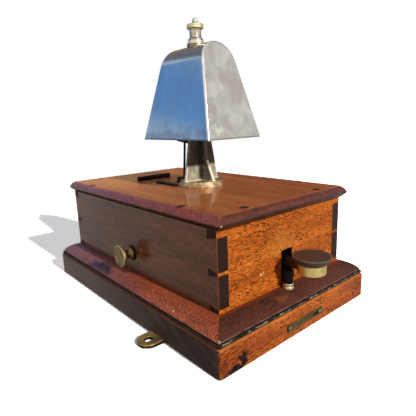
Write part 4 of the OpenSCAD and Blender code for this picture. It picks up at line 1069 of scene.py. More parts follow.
class Palette:
    """Every finish of the object, each made into a material once."""

    def __init__(self) -> None:
        """Names the finishes."""
        finishes = (*self._woods(), *self._metals(), *self._darks())
        self._finishes = {finish.name: finish for finish in finishes}
        self._made: dict[str, bpy.types.Material] = {}

    def __getitem__(self, key: str) -> bpy.types.Material:
        """Returns a finish's material, making it the first time."""
        if key not in self._made:
            self._made[key] = self._finishes[key].material()
        return self._made[key]

    @staticmethod
    def _woods() -> list[Union[WoodFinish, MouldingFinish, TopFinish]]:
        """Returns the finishes of the case, the base and the top."""
        chip, darkening = srgb(236, 206, 150), srgb(9, 7, 6)
        end_panel = WoodFinish(
            "end_panel_wood", light=srgb(234, 132, 45), dark=srgb(186, 92, 26), pore=srgb(64, 27, 10),
            end_grain=srgb(34, 23, 17), rubbed=srgb(222, 132, 70), grain=Grain.Y, pore_length=0.0055,
            pore_depth=0.95, specular=0.08, wear=0.25, grime=0.2,
            marks=(
                Mark((132.4, -34.6, 57.4), (1.2, 1.1, 1.9), chip, cover=0.95, ragged=0.2),
                Mark((132.4, -31.6, 58.6), (1.2, 0.7, 1.2), chip, cover=0.7, ragged=0.4),
                # A soft pale orange patch above the slot is a painted glint; the two marks before it are
                # chips
                Mark((132.4, -8.0, 80.0), (8, 30, 17), srgb(240, 170, 74), cover=0.2, ragged=0.3, core=0.1),
            ),
        )
        # The long sides take a darker, browner wood than the ends: partly painted shade, as the long sides
        # face away from the key lamp
        long_panel = WoodFinish(
            "long_panel_wood", light=srgb(148, 84, 38), dark=srgb(102, 57, 24), pore=srgb(42, 24, 12),
            end_grain=srgb(38, 23, 17), rubbed=srgb(196, 104, 60), pore_length=0.02, pore_depth=0.75,
            roughness=0.32, specular=0.14, coat=0.4, coat_rough=0.06, wear=0.3,
        )
        block = WoodFinish(
            "base_block_wood", light=srgb(226, 128, 50), dark=srgb(166, 79, 28), pore=srgb(46, 20, 11),
            end_grain=srgb(60, 44, 36), rubbed=srgb(226, 132, 66), grain=Grain.ROUND, pore_length=0.007,
            pore_depth=0.95, specular=0.1, wear=0.8, relief_mm=0.14,
            # Its sides along Y are darker and greyer: partly the wood's own greying, partly painted shade
            aged_and_shaded=AgedAndShadedSides(
                "Y",
                far=srgb(126, 106, 94), near=srgb(55, 40, 33), streak=srgb(108, 86, 76),
                rubbed=srgb(82, 46, 40), ledge=99.6,
            ),
            marks=(
                Mark((152.4, -77.0, 7.5), (4, 5.0, 7.5), darkening, cover=0.97, ragged=1.0),
                Mark((152.4, -86.0, 2.0), (4, 9.0, 5.0), darkening, cover=0.97, ragged=1.0),
                Mark((152.4, -96.0, 8.0), (4, 5.0, 9.0), srgb(92, 44, 26), cover=0.6, ragged=0.8),
                Mark((152.4, 74.0, 18.0), (4, 32, 10), srgb(122, 62, 38), cover=0.5, ragged=0.8, core=0.2),
            ),
        )
        moulding = WoodFinish(
            "moulding_wood", light=srgb(228, 122, 74), dark=srgb(188, 94, 60), pore=srgb(104, 52, 46),
            end_grain=srgb(70, 36, 30), rubbed=srgb(190, 110, 80), grain=Grain.ROUND, pore_depth=0.45,
            roughness=0.4, specular=0.14, relief_mm=0.12,
            marks=(
                Mark((-49.0, -95.0, 33.5), (24, 4.2, 4.0), srgb(80, 58, 78), ragged=0.4),
                Mark((90.5, -97.5, 32.0), (1.3, 1.3, 1.3), chip, cover=0.95, ragged=0.3),
                Mark((149.2, -98.6, 30.0), (1.0, 1.0, 1.4), chip, cover=0.7),
                Mark((143.5, -19.0, 34.5), (5, 7, 4), srgb(140, 82, 44), cover=0.4, ragged=1.0),
                Mark((140.0, -36.0, 36.5), (4, 8, 3), srgb(40, 30, 28), cover=0.5, ragged=0.8),
                Mark((139.0, -66.0, 36.5), (4, 6, 3), srgb(44, 32, 30), cover=0.45, ragged=0.8),
            ),
        )
        top = WoodFinish(
            "top_wood", light=srgb(214, 122, 66), dark=srgb(170, 92, 50), pore=srgb(120, 64, 34),
            end_grain=srgb(80, 40, 30), rubbed=srgb(190, 104, 70), pore_length=0.014, pore_depth=0.45,
            roughness=0.34, specular=0.22, coat=0.35, coat_rough=0.06, wear=0.45, relief_mm=0.04,
            marks=(
                # A broad pale orange patch over the left of the face is painted sheen; the marks after it are
                # chips
                Mark((-95.0, -45.0, DECK), (85, 55, 6), srgb(236, 156, 92), cover=0.6, ragged=0.25, core=0.1),
                Mark((103.4, -86.2, 117.0), (1.3, 1.5, 1.0), chip, cover=0.8, ragged=0.4),
                Mark((118.1, -86.0, 117.0), (1.1, 1.5, 0.8), chip, cover=0.6),
                Mark((139.4, -84.6, 111.5), (0.9, 0.9, 0.8), chip, cover=0.7, ragged=0.4),
                Mark((130.8, 63.7, DECK), (1.0, 1.0, 1.0), chip, cover=0.7, ragged=0.4),
            ),
        )
        return [
            end_panel,
            long_panel,
            block,
            # Its nose and crest colours are pale lines that are partly painted highlight
            MouldingFinish(
                "moulding", moulding, far=srgb(172, 116, 120), spots=srgb(70, 38, 41),
                ends=srgb(66, 35, 28), ledge=srgb(176, 84, 40), nose=srgb(176, 126, 114),
                black=srgb(14, 12, 11), crest=srgb(214, 204, 182), bead_top=28.5, ledge_low=36.6,
                mitre=49.3,
            ),
            # The top board's near-black under colour is also its painted shade under the nose and along the
            # foot of its ends
            TopFinish(
                "top_board", top, edge=srgb(192, 84, 58), edge_cloud=srgb(146, 84, 98),
                ends=srgb(94, 39, 26), under=srgb(24, 14, 11), band=6.0,
            ),
        ]

    @staticmethod
    def _metals() -> list[MetalFinish]:
        """Returns the finishes of the bell, the pillar and the fittings."""
        painted_glint = srgb(240, 236, 222)
        # Each row: its name, its bright, tarnished and rubbed colours, its lowest and highest roughness, the
        # tarnish's cover and the pattern's scale
        rows = (
            ("dull_brass", (146, 124, 80), (98, 82, 56), (230, 210, 150), 0.24, 0.42, 0.6, 1.6),
            ("pale_brass", (214, 198, 148), (160, 140, 96), (240, 232, 206), 0.16, 0.32, 0.5, 2.0),
            ("ferrule_brass", (224, 204, 132), (184, 160, 94), (244, 232, 180), 0.3, 0.46, 0.5, 2.0),
            ("nut_brass", (184, 164, 108), (124, 104, 66), (236, 218, 160), 0.14, 0.32, 0.6, 2.0),
            ("green_steel", (160, 176, 174), (104, 124, 116), (214, 222, 220), 0.24, 0.42, 0.6, 3.0),
            ("lug_brass", (74, 60, 46), (52, 40, 31), (204, 168, 106), 0.36, 0.55, 0.7, 1.5),
            ("bright_steel", (190, 192, 188), (120, 124, 120), (236, 238, 238), 0.2, 0.38, 0.5, 2.0),
            ("soft_iron", (96, 94, 92), (58, 52, 46), (150, 148, 144), 0.4, 0.6, 0.6, 1.5),
        )
        plain = [
            MetalFinish(name, srgb(*bright), srgb(*tarnish), srgb(*rubbed), *look)
            for name, bright, tarnish, rubbed, *look in rows
        ]
        return [
            *plain,
            MetalFinish(
                "bell_metal", bright=srgb(206, 203, 198), tarnish=srgb(162, 154, 144),
                rubbed=srgb(236, 235, 232), low_rough=0.1, high_rough=0.17, cover=0.35, scale=0.8,
                dent_mm=0.004, wear=0.35, smear=0.1, ends=0.65,
                marks=(
                    # The first two marks are painted glints on the end face; the rest darken the rim's lower
                    # edges and a ragged band above the long face's rim
                    Mark((69.0, -19.0, 177.0), (6, 7, 5), painted_glint, cover=0.6, ragged=0.7, core=0.2),
                    Mark((58.4, -5.0, 216.0), (6, 3, 6), painted_glint, cover=0.5, ragged=0.8, core=0.2),
                    Mark((16.6, -35.0, 168.0), (90, 5, 2.0), srgb(84, 74, 84), 0.8, ragged=0.2, core=0.6),
                    Mark((16.6, -34.0, 172.0), (75, 6, 10), srgb(138, 130, 130), 0.38, ragged=1.0, core=0.2),
                    Mark((70.5, 0.0, 168.0), (6, 60, 1.8), srgb(120, 112, 104), 0.7, ragged=0.2, core=0.6),
                ),
            ),
            MetalFinish(
                "worn_nickel", bright=srgb(212, 200, 180), tarnish=srgb(134, 112, 86),
                rubbed=srgb(236, 230, 220), low_rough=0.1, high_rough=0.24, cover=0.5, scale=2.0,
                foot_top=267.0, foot=srgb(150, 120, 78),
            ),
            # The pillar: its pale web edges and foot lines are partly rubbed metal, partly painted highlight;
            # its hollows and its part above 137 mm are darkened as painted shade and painted shadow
            MetalFinish(
                "pillar_casting", bright=srgb(190, 184, 162), tarnish=srgb(104, 98, 82),
                rubbed=srgb(248, 242, 222), low_rough=0.38, high_rough=0.56, cover=0.7, scale=4.0,
                dent_mm=0.1, wear=1.2, metallic=0.12, specular=0.12, deep=0.8, painted_shadow_from=137.0,
                foot_top=DECK + 6.0, foot=srgb(176, 142, 80),
                marks=(
                    # A dark patch of painted shade on the shaded face of the X web
                    Mark((26.0, -2.6, 132.0), (12, 1.3, 16), srgb(46, 40, 32), 0.8, ragged=0.2, core=0.6),
                ),
            ),
            MetalFinish(
                "label_brass", bright=srgb(118, 104, 68), tarnish=srgb(46, 37, 28),
                rubbed=srgb(196, 174, 122), low_rough=0.4, high_rough=0.6, cover=0.5, scale=1.5, wear=0.4,
                marks=(
                    Mark((153.2, 18.5, 10.6), (2, 6.0, 2.4), srgb(20, 16, 13), ragged=0.3, core=0.6),
                    Mark((153.2, -23.0, 10.8), (2, 2.4, 4.0), srgb(22, 18, 14), ragged=0.5, core=0.5),
                ),
            ),
        ]

    @staticmethod
    def _darks() -> list[DarkFinish]:
        """Returns the finishes of the black, ebonite and soft pieces."""
        # Each row: its name, its base, bloom and rubbed colours, its roughness, its grain's depth in
        # millimetres and the pattern's scale, then its wear and specular level where they aren't the usual
        rows = (
            ("black_iron", (28, 23, 20), (44, 37, 31), (104, 96, 88), 0.42, 0.05, 1.6, 0.35, 0.12),
            ("ebonite", (74, 58, 50), (90, 73, 63), (146, 128, 116), 0.4, 0.02, 1.2, 0.8, 0.14),
            ("cushion_leather", (64, 42, 30), (84, 60, 44), (110, 84, 62), 0.6, 0.1, 3.0),
            ("wire_silk", (62, 92, 58), (84, 112, 76), (110, 132, 96), 0.62, 0.1, 4.0),
        )
        return [
            DarkFinish(name, srgb(*base), srgb(*bloom), srgb(*rubbed), *look)
            for name, base, bloom, rubbed, *look in rows
        ]


PALETTE = Palette()


def dress(
    skin: Skin,
    name: str,
    finish: str,
    nodes: Sequence[str] = (),
    body: Body = Body.CASE,
    sharp_deg: float = 32.0,
) -> bpy.types.Object:
    """Builds a new piece and gives it its finish, its body and the CAD nodes that it stands for.

    Args:
        skin: The piece's surfaces.
        name: Name of the piece.
        finish: Name of the finish in the palette.
        nodes: CAD nodes that it replaces.
        body: The body that it rides on.
        sharp_deg: Angle over which an edge stays sharp.

    Returns:
        The piece.
    """
    piece = skin.build(name, sharp_deg)
    piece.data.materials.append(PALETTE[finish])
    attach(piece, body.value)
    if nodes:
        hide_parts(*nodes)
    LOG.info("%s rides on %s and stands for %s", piece.name, body.value, ", ".join(nodes) or "no node")
    return piece


def finish_nodes(finish: str, *nodes: str) -> None:
    """Gives CAD nodes that stay as they are a finish from the palette."""
    for node in nodes:
        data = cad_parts[node].data
        data.materials.clear()
        data.materials.append(PALETTE[finish])


# The object's pieces


@dataclass
class Base:
    """The base block, its moulded board, the fixing lugs and the label strip."""

    length: float = 304.8
    width: float = 204.4
    corner: float = 3.0
    step: float = 2.4
    edge_h: float = 4.4
    bow: float = 1.8
    case_l: float = 264.8
    case_w: float = 166.2
    ledge: float = 1.4
    label_low: tuple[float, float, float] = (152.4, -24.5, 7.3)
    label_high: tuple[float, float, float] = (153.2, 26.5, 14.3)
    lug_x: float = 70.5
    lug_w: float = 21.0
    lug_reach: float = 9.0
    lug_tail: float = 28.0
    lug_t: float = 3.0
    lug_hole: float = 3.6

    def block(self) -> None:
        """The block: a line of (inset, height) with a small foot round and a worn top arris, lofted round."""
        foot, foot_round, arris, least_corner = 0.25, 0.9, 2.2, 0.6
        line = soften([[6, foot], [0, foot], [0, BLOCK_TOP], [14, BLOCK_TOP]], [foot_round, arris], 6)
        inset, z = line.T
        wear = peak(z, BLOCK_TOP, 1.6) * (inset < 2.5)
        corner = np.maximum(self.corner - inset, least_corner)
        skin = Skin()
        skin.solid(rect_rings(self.length / 2 - inset, self.width / 2 - inset, z, corner), wear[:, None])
        dress(skin, "base_block_body", "base_block_wood", ["base_block"])

    def board(self) -> None:
        """The moulded board: a black half-round bead, a quirk, an arc that bows out over its chord, a ledge.

        With chord half-length h and rise s the arc's radius is (h^2 + s^2) / 2s; the angle runs evenly.
        """
        outer_l, outer_w = self.length / 2 - self.step, self.width / 2 - self.step
        inner_l, inner_w = self.case_l / 2 + self.ledge, self.case_w / 2 + self.ledge
        low = BLOCK_TOP + self.edge_h

        def slope(outer: float, inner: float) -> Points:
            """Points (half-size, height) on the bowed slope from the edge up to the ledge."""
            p, q = np.array([inner, FLOOR]), np.array([outer, low])
            half = np.linalg.norm(q - p) / 2
            r = (half**2 + self.bow**2) / (2 * self.bow)
            along = (q - p) / (2 * half)
            off = np.array([-along[1], along[0]])
            centre = (p + q) / 2 + off * (self.bow - r)
            t = np.arcsin(half / r) * np.linspace(-1, 1, 15)[:, None]
            return centre + r * (np.cos(t) * off - np.sin(t) * along)

        along_x, along_y = slope(outer_l, inner_l), slope(outer_w, inner_w)
        bead_in, bead_r, bead_mid, bead_half = 0.5, 1.7, 1.9, 1.75
        turn = np.linspace(-np.pi / 2, np.pi / 2, 11)
        edge = np.concatenate([[-0.6], bead_r * np.cos(turn) - bead_in, [-1.0, -0.9]])
        bead_z = BLOCK_TOP + bead_mid + bead_half * np.sin(turn)
        edge_z = np.concatenate([[BLOCK_TOP], bead_z, [low - 0.6, low - 0.3]])
        half_l = np.concatenate([outer_l + edge, along_x[:, 0], [inner_l - 6]])
        half_w = np.concatenate([outer_w + edge, along_y[:, 0], [inner_w - 6]])
        z = np.concatenate([edge_z, along_x[:, 1], [FLOOR]])
        wear = np.zeros(len(z))
        # The bead's crest carries wear, which the finish turns into a pale line: partly scuffs, partly
        # painted highlight
        wear[1 : 1 + len(turn)] = peak(turn, 0.35, 0.42)
        skin = Skin()
        skin.solid(rect_rings(half_l, half_w, z, 0.5, 3), wear[:, None])
        dress(skin, "base_moulding", "moulding", ["base_board"], sharp_deg=24)

    def lugs(self) -> None:
        """Two lugs: each a ring of faces between its outline and its hole, at matching angles about the hole.

        The outline's distance from the hole's centre is the smaller of the distances to the tail's three
        straight sides on the tail's half, and the round end's radius on the other half.
        """
        a = np.linspace(0, 2 * np.pi, 96, endpoint=False)
        cos, sin = np.cos(a), np.sin(a)
        half, back = self.lug_w / 2, self.lug_tail + self.lug_reach
        with np.errstate(divide="ignore"):
            to_side = np.where(np.abs(cos) > 1e-9, half / np.abs(cos), np.inf)
            to_back = np.where(sin < -1e-9, back / -sin, np.inf)
        reach = np.where(sin >= 0, half - 0.04, np.minimum(to_side, to_back))
        hole, thick = self.lug_hole, self.lug_t
        # Each row is a ring's radius, height and wear, up through the hole, over the top and down the rim
        rows: list[tuple[Amount, float, float]] = [
            (hole + 0.5, 0.0, 0.6),
            (hole, 0.5, 0.2),
            (hole, thick - 0.6, 0.2),
            (hole + 0.6, thick, 1.0),
            (reach - 0.7, thick, 1.0),
            (reach, thick - 0.7, 0.6),
            (reach, 0.0, 0.2),
        ]
        ring = np.stack([np.stack([r * cos, r * sin, np.full_like(a, up)], -1) for r, up, _ in rows])
        wear = np.array([worn for _, _, worn in rows])[:, None]
        skin = Skin()
        for sign in (1, -1):
            spot = np.array([-sign * self.lug_x, sign * (self.width / 2 + self.lug_reach), 0.0])
            skin.grid(ring * np.array([sign, sign, 1.0]) + spot, wear, wrap_rows=True, wrap_cols=True)
        dress(skin, "fixing_lug_pair", "lug_brass", ["fixing_lugs"])

    def label(self) -> None:
        """The blank label: a thin plate with a raised border, lofted towards X."""
        lo, hi = np.array(self.label_low), np.array(self.label_high)
        half_y, half_z = (hi[1] - lo[1]) / 2, (hi[2] - lo[2]) / 2
        steps = np.array([[0, 0.0], [0, 0.6], [0.2, 0.8], [0.5, 0.8], [0.7, 0.65], [1.3, 0.65]])
        rings = rect_rings(half_y - steps[:, 0], half_z - steps[:, 0], steps[:, 1], 0.5, 3)
        placed = set_at(rings, (lo[0], (lo[1] + hi[1]) / 2, (lo[2] + hi[2]) / 2), "X")
        skin = Skin()
        skin.solid(placed, np.array([0, 0.3, 0.6, 0.4, 0, 0.0])[:, None])
        dress(skin, "label_strip", "label_brass", ["label_plate"])

    def build(self) -> None:
        """Builds and dresses every piece of the base."""
        self.block()
        self.board()
        self.lugs()
        self.label()
        finish_nodes("bright_steel", "lug_screws")
        finish_nodes("pale_brass", "label_screws")


@dataclass
class Case:
    """The dovetailed case, its top board, the black strips on it and the wire bush."""

    length: float = 264.8
    width: float = 166.2
    panel: float = 11.3
    pin: float = 2.7
    half_pin: float = 3.8
    top_pin: float = 6.2
    flare: float = 2.2
    slot_w: float = 15.0
    slot_h: float = 33.4
    edge: float = 0.3
    lid_l: float = 279.6
    lid_w: float = 172.4
    lid_slope: float = 5.0
    lid_drop: float = 6.2
    lid_bow: float = 0.8
    lid_nose: float = 0.7
    lid_under: float = 4.4
    hatch_x: tuple[float, float] = (-27.07, -8.57)
    hatch_y: float = 5.5
    bush_z: float = 80.0
    bush_r: float = 5.0
    screw_r: float = 3.4
    screw_in: float = 4.2
    screw_x: float = 85.0
    screw_y: float = 49.0
    strip_edge: float = 0.7
    strip_corner: float = 0.8

    def tail_spans(self) -> list[tuple[float, float]]:
        """Returns the heights of the two tails at the case's end face."""
        low, high = FLOOR + self.half_pin, LID - self.top_pin
        middle = (low + high) / 2
        return [(low, middle - self.pin / 2), (middle + self.pin / 2, high)]

    def long_panel(self, side: int) -> None:
        """A long side: its outline runs round the dovetail tails at both ends and is drawn out along Y."""
        out, root = self.length / 2, self.length / 2 - self.panel
        (a0, a1), (b0, b1) = self.tail_spans()
        f = self.flare
        right = [
            (root, FLOOR), (root, a0 + f), (out, a0), (out, a1), (root, a1 - f),
            (root, b0 + f), (out, b0), (out, b1), (root, b1 - f), (root, LID),
        ]
        outline = right + [(-x, z) for x, z in reversed(right)]
        low = side * self.width / 2 - (self.panel if side > 0 else 0)
        skin = Skin()
        prism(skin, outline, low, low + self.panel, "Y", self.edge)
        name = "long_panel_front" if side < 0 else "long_panel_back"
        node = "side_panel_front" if side < 0 else "side_panel_back"
        dress(skin, name, "long_panel_wood", [node], sharp_deg=20)

    def end_panel(self, side: int) -> None:
        """An end: a slab between the long sides, notched for the tapper, with a row of pins at each edge."""
        root = self.width / 2 - self.panel
        (a0, a1), (b0, b1) = self.tail_spans()
        f, half = self.flare, self.slot_w / 2
        outline = [(-root, FLOOR), (root, FLOOR), (root, LID), (-root, LID)]
        if side > 0:
            notch = [(-half, FLOOR), (-half, FLOOR + self.slot_h), (half, FLOOR + self.slot_h), (half, FLOOR)]
            outline = [outline[0], *notch, *outline[1:]]
        out, back = side * self.length / 2, side * (self.length / 2 - self.panel)
        skin = Skin()
        prism(skin, outline, min(out, back), max(out, back), "X", self.edge)
        pins = [
            [(back, FLOOR), (out, FLOOR), (out, a0), (back, a0 + f)],
            [(back, a1 - f), (out, a1), (out, b0), (back, b0 + f)],
            [(back, b1 - f), (out, b1), (out, LID), (back, LID)],
        ]
        for shape in pins:
            ring = shape if side > 0 else shape[::-1]
            for hand in (-1, 1):
                ends = sorted([hand * root, hand * self.width / 2])
                prism(skin, ring, ends[0], ends[1], "Y", 0.15, 0.0)
        name = "end_panel_front" if side > 0 else "end_panel_back"
        node = "end_panel_tapper" if side > 0 else "end_panel_rear"
        dress(skin, name, "end_panel_wood", [node], sharp_deg=20)

    def top(self) -> None:
        """The top board: a slope bowed by a parabola, a nose and a cut back, with the hammer's hatch."""
        s = np.linspace(0, 1, 12)
        n = np.array([self.lid_drop, self.lid_slope]) / math.hypot(self.lid_drop, self.lid_slope)
        rise = 4 * self.lid_bow * s * (1 - s)
        nose, under = DECK - self.lid_drop, self.lid_under
        slope_in = self.lid_slope * (1 - s) - rise * n[0]
        slope = np.column_stack([slope_in, DECK - self.lid_drop * s + rise * n[1]])
        corners = [slope[-2], [0, nose], [0, nose - self.lid_nose], [under, LID], [under + 1.0, LID]]
        edge = soften(corners, [0.3, 0.3, 0.2], 4)
        inset, z = np.vstack([[[self.lid_slope + 1.2, DECK]], slope[:-2], edge]).T
        wear = peak(inset, self.lid_slope, 0.9) * (z > DECK - 2)
        steps = 5
        rings = rect_rings(self.lid_l / 2 - inset, self.lid_w / 2 - inset, z, 1.6, steps)
        skin = Skin()
        index = skin.grid(rings, wear[:, None], wrap_cols=True)
        (x0, x1), y = self.hatch_x, self.hatch_y
        hatch = np.array([[x1, y], [x0, y], [x0, -y], [x1, -y]])
        hole = skin.grid(np.stack([lifted(hatch, h) for h in (DECK, LID)]), wrap_cols=True)
        per = steps + 1
        for ring, mouth in ((index[0], hole[0]), (index[-1], hole[1])):
            for k in range(4):
                here, after = k * per + per // 2, (k + 1) * per + per // 2
                side = np.arange(here, after + 1) % len(ring)
                skin.faces.append([*ring[side].tolist(), int(mouth[(k + 1) % 4]), int(mouth[k])])
        dress(skin, "top_slab", "top_board", ["top_board"], sharp_deg=24)

    def bush(self) -> None:
        """The wire bush: a turned ring with a rounded flange outside the rear end."""
        r, t = self.bush_r, self.panel
        sleeve, flange, lip = r + 2, r + 4.5, -2
        corners = [[r, t], [r, lip], [flange, lip], [flange, 0], [sleeve, 0], [sleeve, t], [r, t]]
        skin = Skin()
        skin.lathe(soften(corners, [1.0, 0.9, 0.3, 0.1, 0.2], 4), 56, (-self.length / 2, 0, self.bush_z), "X")
        dress(skin, "wire_bush_ring", "ebonite", ["wire_bush"])

    def strips(self) -> None:
        """The two black strips: one across the top behind the pillar, a lower one along beside the flange."""
        across = (-69.0, -30.0, DECK), (-65.0, 16.0, DECK + 5.0)
        along = (-35.3, -24.8, DECK), (1.65, -20.8, DECK + 2.8)
        skin = Skin()
        for low, high in (across, along):
            rounded_box(skin, low, high, self.strip_edge, self.strip_corner)
        dress(skin, "black_strip_pair", "black_iron", ["top_strips"])

    def screws(self) -> None:
        """The eight screws that hold the top board down, two over each panel."""
        long_y, end_x = self.width / 2 - self.screw_in, self.length / 2 - self.screw_in
        skin = Skin()
        for i, j in ((1, 1), (1, -1), (-1, 1), (-1, -1)):
            slotted_head(skin, (i * self.screw_x, j * long_y, DECK), self.screw_r, SCREW_SLOT, 25)
            slotted_head(skin, (i * end_x, j * self.screw_y, DECK), self.screw_r, SCREW_SLOT, 70)
        dress(skin, "top_screw_heads", "black_iron", ["top_screws"])

    def build(self) -> None:
        """Builds and dresses every piece of the case."""
        self.long_panel(-1)
        self.long_panel(1)
        self.end_panel(1)
        self.end_panel(-1)
        self.top()
        self.bush()
        self.strips()
        self.screws()
        finish_nodes("base_block_wood", "locating_battens")


@dataclass
class Gong:
    """The bell, the pillar under it and the finial that holds it down."""

    axis_x: float = 16.6
    rim_z: float = 168.1
    height: float = 91.5
    rim_l: float = 109.6
    top_l: float = 60.0
    rim_w: float = 70.2
    crown_r: float = 21.8
    wall: float = 3.5
    fillet: float = 2.0
    inner_fillet: float = 0.8
    seat_r: float = 9.0
    seat_up: float = 1.5
    seat_down: float = 2.5
    stud_r: float = 3.0
    flange_r: float = 24.5
    flange_h: float = 3.0
    foot_r: float = 22.8
    foot_h: float = 6.0
    screw_circle: float = 18.4
    screw_r: float = 3.2
    web_t: float = 3.2
    web_root: float = 2.4
    web_x: tuple[float, float] = (21.2, 10.4)
    web_y: tuple[float, float] = (22.5, 14.6)
    web_bend: tuple[float, float] = (30.0, 50.1)
    boss_r: float = 7.5
    cushion_z: float = 252.1
    column_z: float = 262.5
    nut_z: float = 275.1
    stud_top: float = 285.7
    stud_dome: float = 2.3

    @property
    def lean(self) -> float:
        """Lean of the bell's long flanks, in radians."""
        centre = self.height - self.crown_r
        reach = math.hypot(centre, self.rim_w / 2)
        return math.atan2(-centre, self.rim_w / 2) + math.acos(self.crown_r / reach)

    def half_length(self, h: Points, inset: float) -> Points:
        """Half-length of the bell at heights over its rim, inset by a wall."""
        run = (self.rim_l - self.top_l) / 2
        return self.rim_l / 2 - run * h / self.height - inset / math.cos(math.atan2(run, self.height))

    def shell(self, skin: Skin, inset: float, fillet: float) -> Indices:
        """Adds one surface of the bell.

        The arch runs up one straight flank, round the crown and down the other, with normal angle a. Its
        flanks are ruled along X. At each end a ball of the fillet's radius rolls along the edge: its
        centre is the arch moved in by the radius, and the surface is the centre plus the radius times
        the unit vector between the flank's normal and the end's normal. The ends are ruled across Y.

        Args:
            skin: Where the surface goes.
            inset: Distance inside the bell's outer surface.
            fillet: Radius of the end edges.

        Returns:
            The ring of indices along the rim.
        """
        lean, centre = self.lean, self.height - self.crown_r
        r = self.crown_r - inset
        arc = np.linspace(lean, np.pi - lean, 57)
        touch = centre + r * np.sin(lean)
        straight = 17
        rise = np.linspace(0.0, touch, straight + 1)[:-1]
        flank_y = r / np.cos(lean) + (centre - rise) * np.tan(lean)
        angle = np.concatenate([np.full(straight, lean), arc, np.full(straight, np.pi - lean)])
        y = np.concatenate([flank_y, r * np.cos(arc), -flank_y[::-1]])
        z = np.concatenate([rise, centre + r * np.sin(arc), rise[::-1]])
        ny, nz = np.cos(angle), np.sin(angle)
        cy, cz = y - fillet * ny, z - fillet * nz
        cx = self.half_length(cz, inset + fillet)
        end_lean = math.atan2((self.rim_l - self.top_l) / 2, self.height)
        m = np.array([math.cos(end_lean), 0.0, math.sin(end_lean)])
        n = np.stack([np.zeros_like(ny), ny, nz], -1)
        phi = np.linspace(0, np.pi / 2, 9)[None, :, None]
        way = np.cos(phi) * n[:, None] + np.sin(phi) * m
        way = way / np.linalg.norm(way, axis=-1, keepdims=True)
        ball = np.stack([cx, cy, cz], -1)[:, None] + fillet * way
        flip = np.array([-1.0, 1.0, 1.0])
        across = np.linspace(-1, 1, 13)[None, 1:-1]
        middle = np.stack([cx[:, None] * across, y[:, None] + 0 * across, z[:, None] + 0 * across], -1)
        body = np.concatenate([ball[:, ::-1] * flip, middle, ball], axis=1)
        body[[0, -1], :, 2] = 0.0
        worn = np.sin(2 * phi[0, :, 0])
        edge = np.concatenate([worn[::-1], np.zeros(across.size), worn])
        place = np.array([self.axis_x, 0.0, self.rim_z])
        main = skin.grid(body + place, edge[None, :])
        half = len(angle) // 2 + 1
        w = np.linspace(1, -1, 17)[None, :]
        faces = []
        for column in (-1, 0):
            bound = body[:half, column]
            plane = np.stack([bound[:, :1] + 0 * w, bound[:, 1:2] * w, bound[:, 2:3] + 0 * w], -1)
            faces.append(skin.grid(plane + place))
        front, back = faces
        return np.concatenate([main[0], front[0, 1:-1], main[-1, ::-1], back[0, -2:0:-1]])

    def bell(self) -> None:
        """The bell: an outer and an inner surface joined by the rim."""
        skin = Skin()
        outer = self.shell(skin, 0.0, self.fillet)
        inner = self.shell(skin, self.wall, self.inner_fillet)
        skin.quads(np.stack([outer, inner]), wrap_cols=True)
        dress(skin, "bell_body", "bell_metal", ["bell"], sharp_deg=30)

    def screws(self) -> None:
        """The four screws that hold the pillar's foot down, between its webs."""
        skin = Skin()
        for turn in (45, 135, 225, 315):
            a = math.radians(turn)
            x, y = self.screw_circle * math.cos(a), self.screw_circle * math.sin(a)
            slotted_head(skin, (self.axis_x + x, y, DECK + self.foot_h), self.screw_r, SCREW_SLOT, turn)
        dress(skin, "flange_screw_heads", "dull_brass", ["flange_screws"])

    def seat(self) -> None:
        """The bell's turned seat, which stands through its crown under the finial."""
        low, top = self.height - self.wall - self.seat_down, self.height + self.seat_up
        bore, r = self.stud_r + BORE_GAP, self.seat_r
        line = soften([[bore, low], [r, low], [r, top], [bore, top], [bore, low]], [0.5, 0.8, 0.3], 4)
        skin = Skin()
        skin.lathe(line, 64, (self.axis_x, 0, self.rim_z))
        dress(skin, "bell_seat", "dull_brass")

    def web_ring(self, lx: Points, ly: Points, half: Points, z: Points) -> Points:
        """Cross-shaped rings, one per height, with rounded ends and hollow inner corners.

        One quarter runs from the X arm's tip round its corner, along to the inner corner's hollow arc
        and out to the Y arm's tip, with a point on each face a margin away from the arcs; the other
        three are its mirror images.

        Args:
            lx: Half-lengths of the X arms.
            ly: Half-lengths of the Y arms.
            half: Half-thicknesses of the webs.
            z: Heights.

        Returns:
            A grid (k, n, 3).
        """
        tip, hollow, margin = 0.8, 2.4, 1.2
        t = np.linspace(0, np.pi / 2, 5)[None, :]
        a, b, h = lx[:, None], ly[:, None], half[:, None]
        out_x, out_y = tip * (np.cos(t) - 1), tip * (np.sin(t) - 1)
        arc_x, arc_y = h + hollow * (1 - np.sin(t)), h + hollow * (1 - np.cos(t))
        root = h + hollow + margin
        x = np.concatenate([a, a + out_x, a - tip - margin, root, arc_x, h, h, h + out_x], axis=1)
        y = np.concatenate([0 * a, h + out_y, h, h, arc_y, root, b - tip - margin, b + out_y], axis=1)
        qx = np.concatenate([x, -x[:, ::-1], -x, x[:, ::-1]], axis=1)
        qy = np.concatenate([y, y[:, ::-1], -y, -y[:, ::-1]], axis=1)
        return np.stack([qx, qy, np.broadcast_to(z[:, None], qx.shape)], -1)

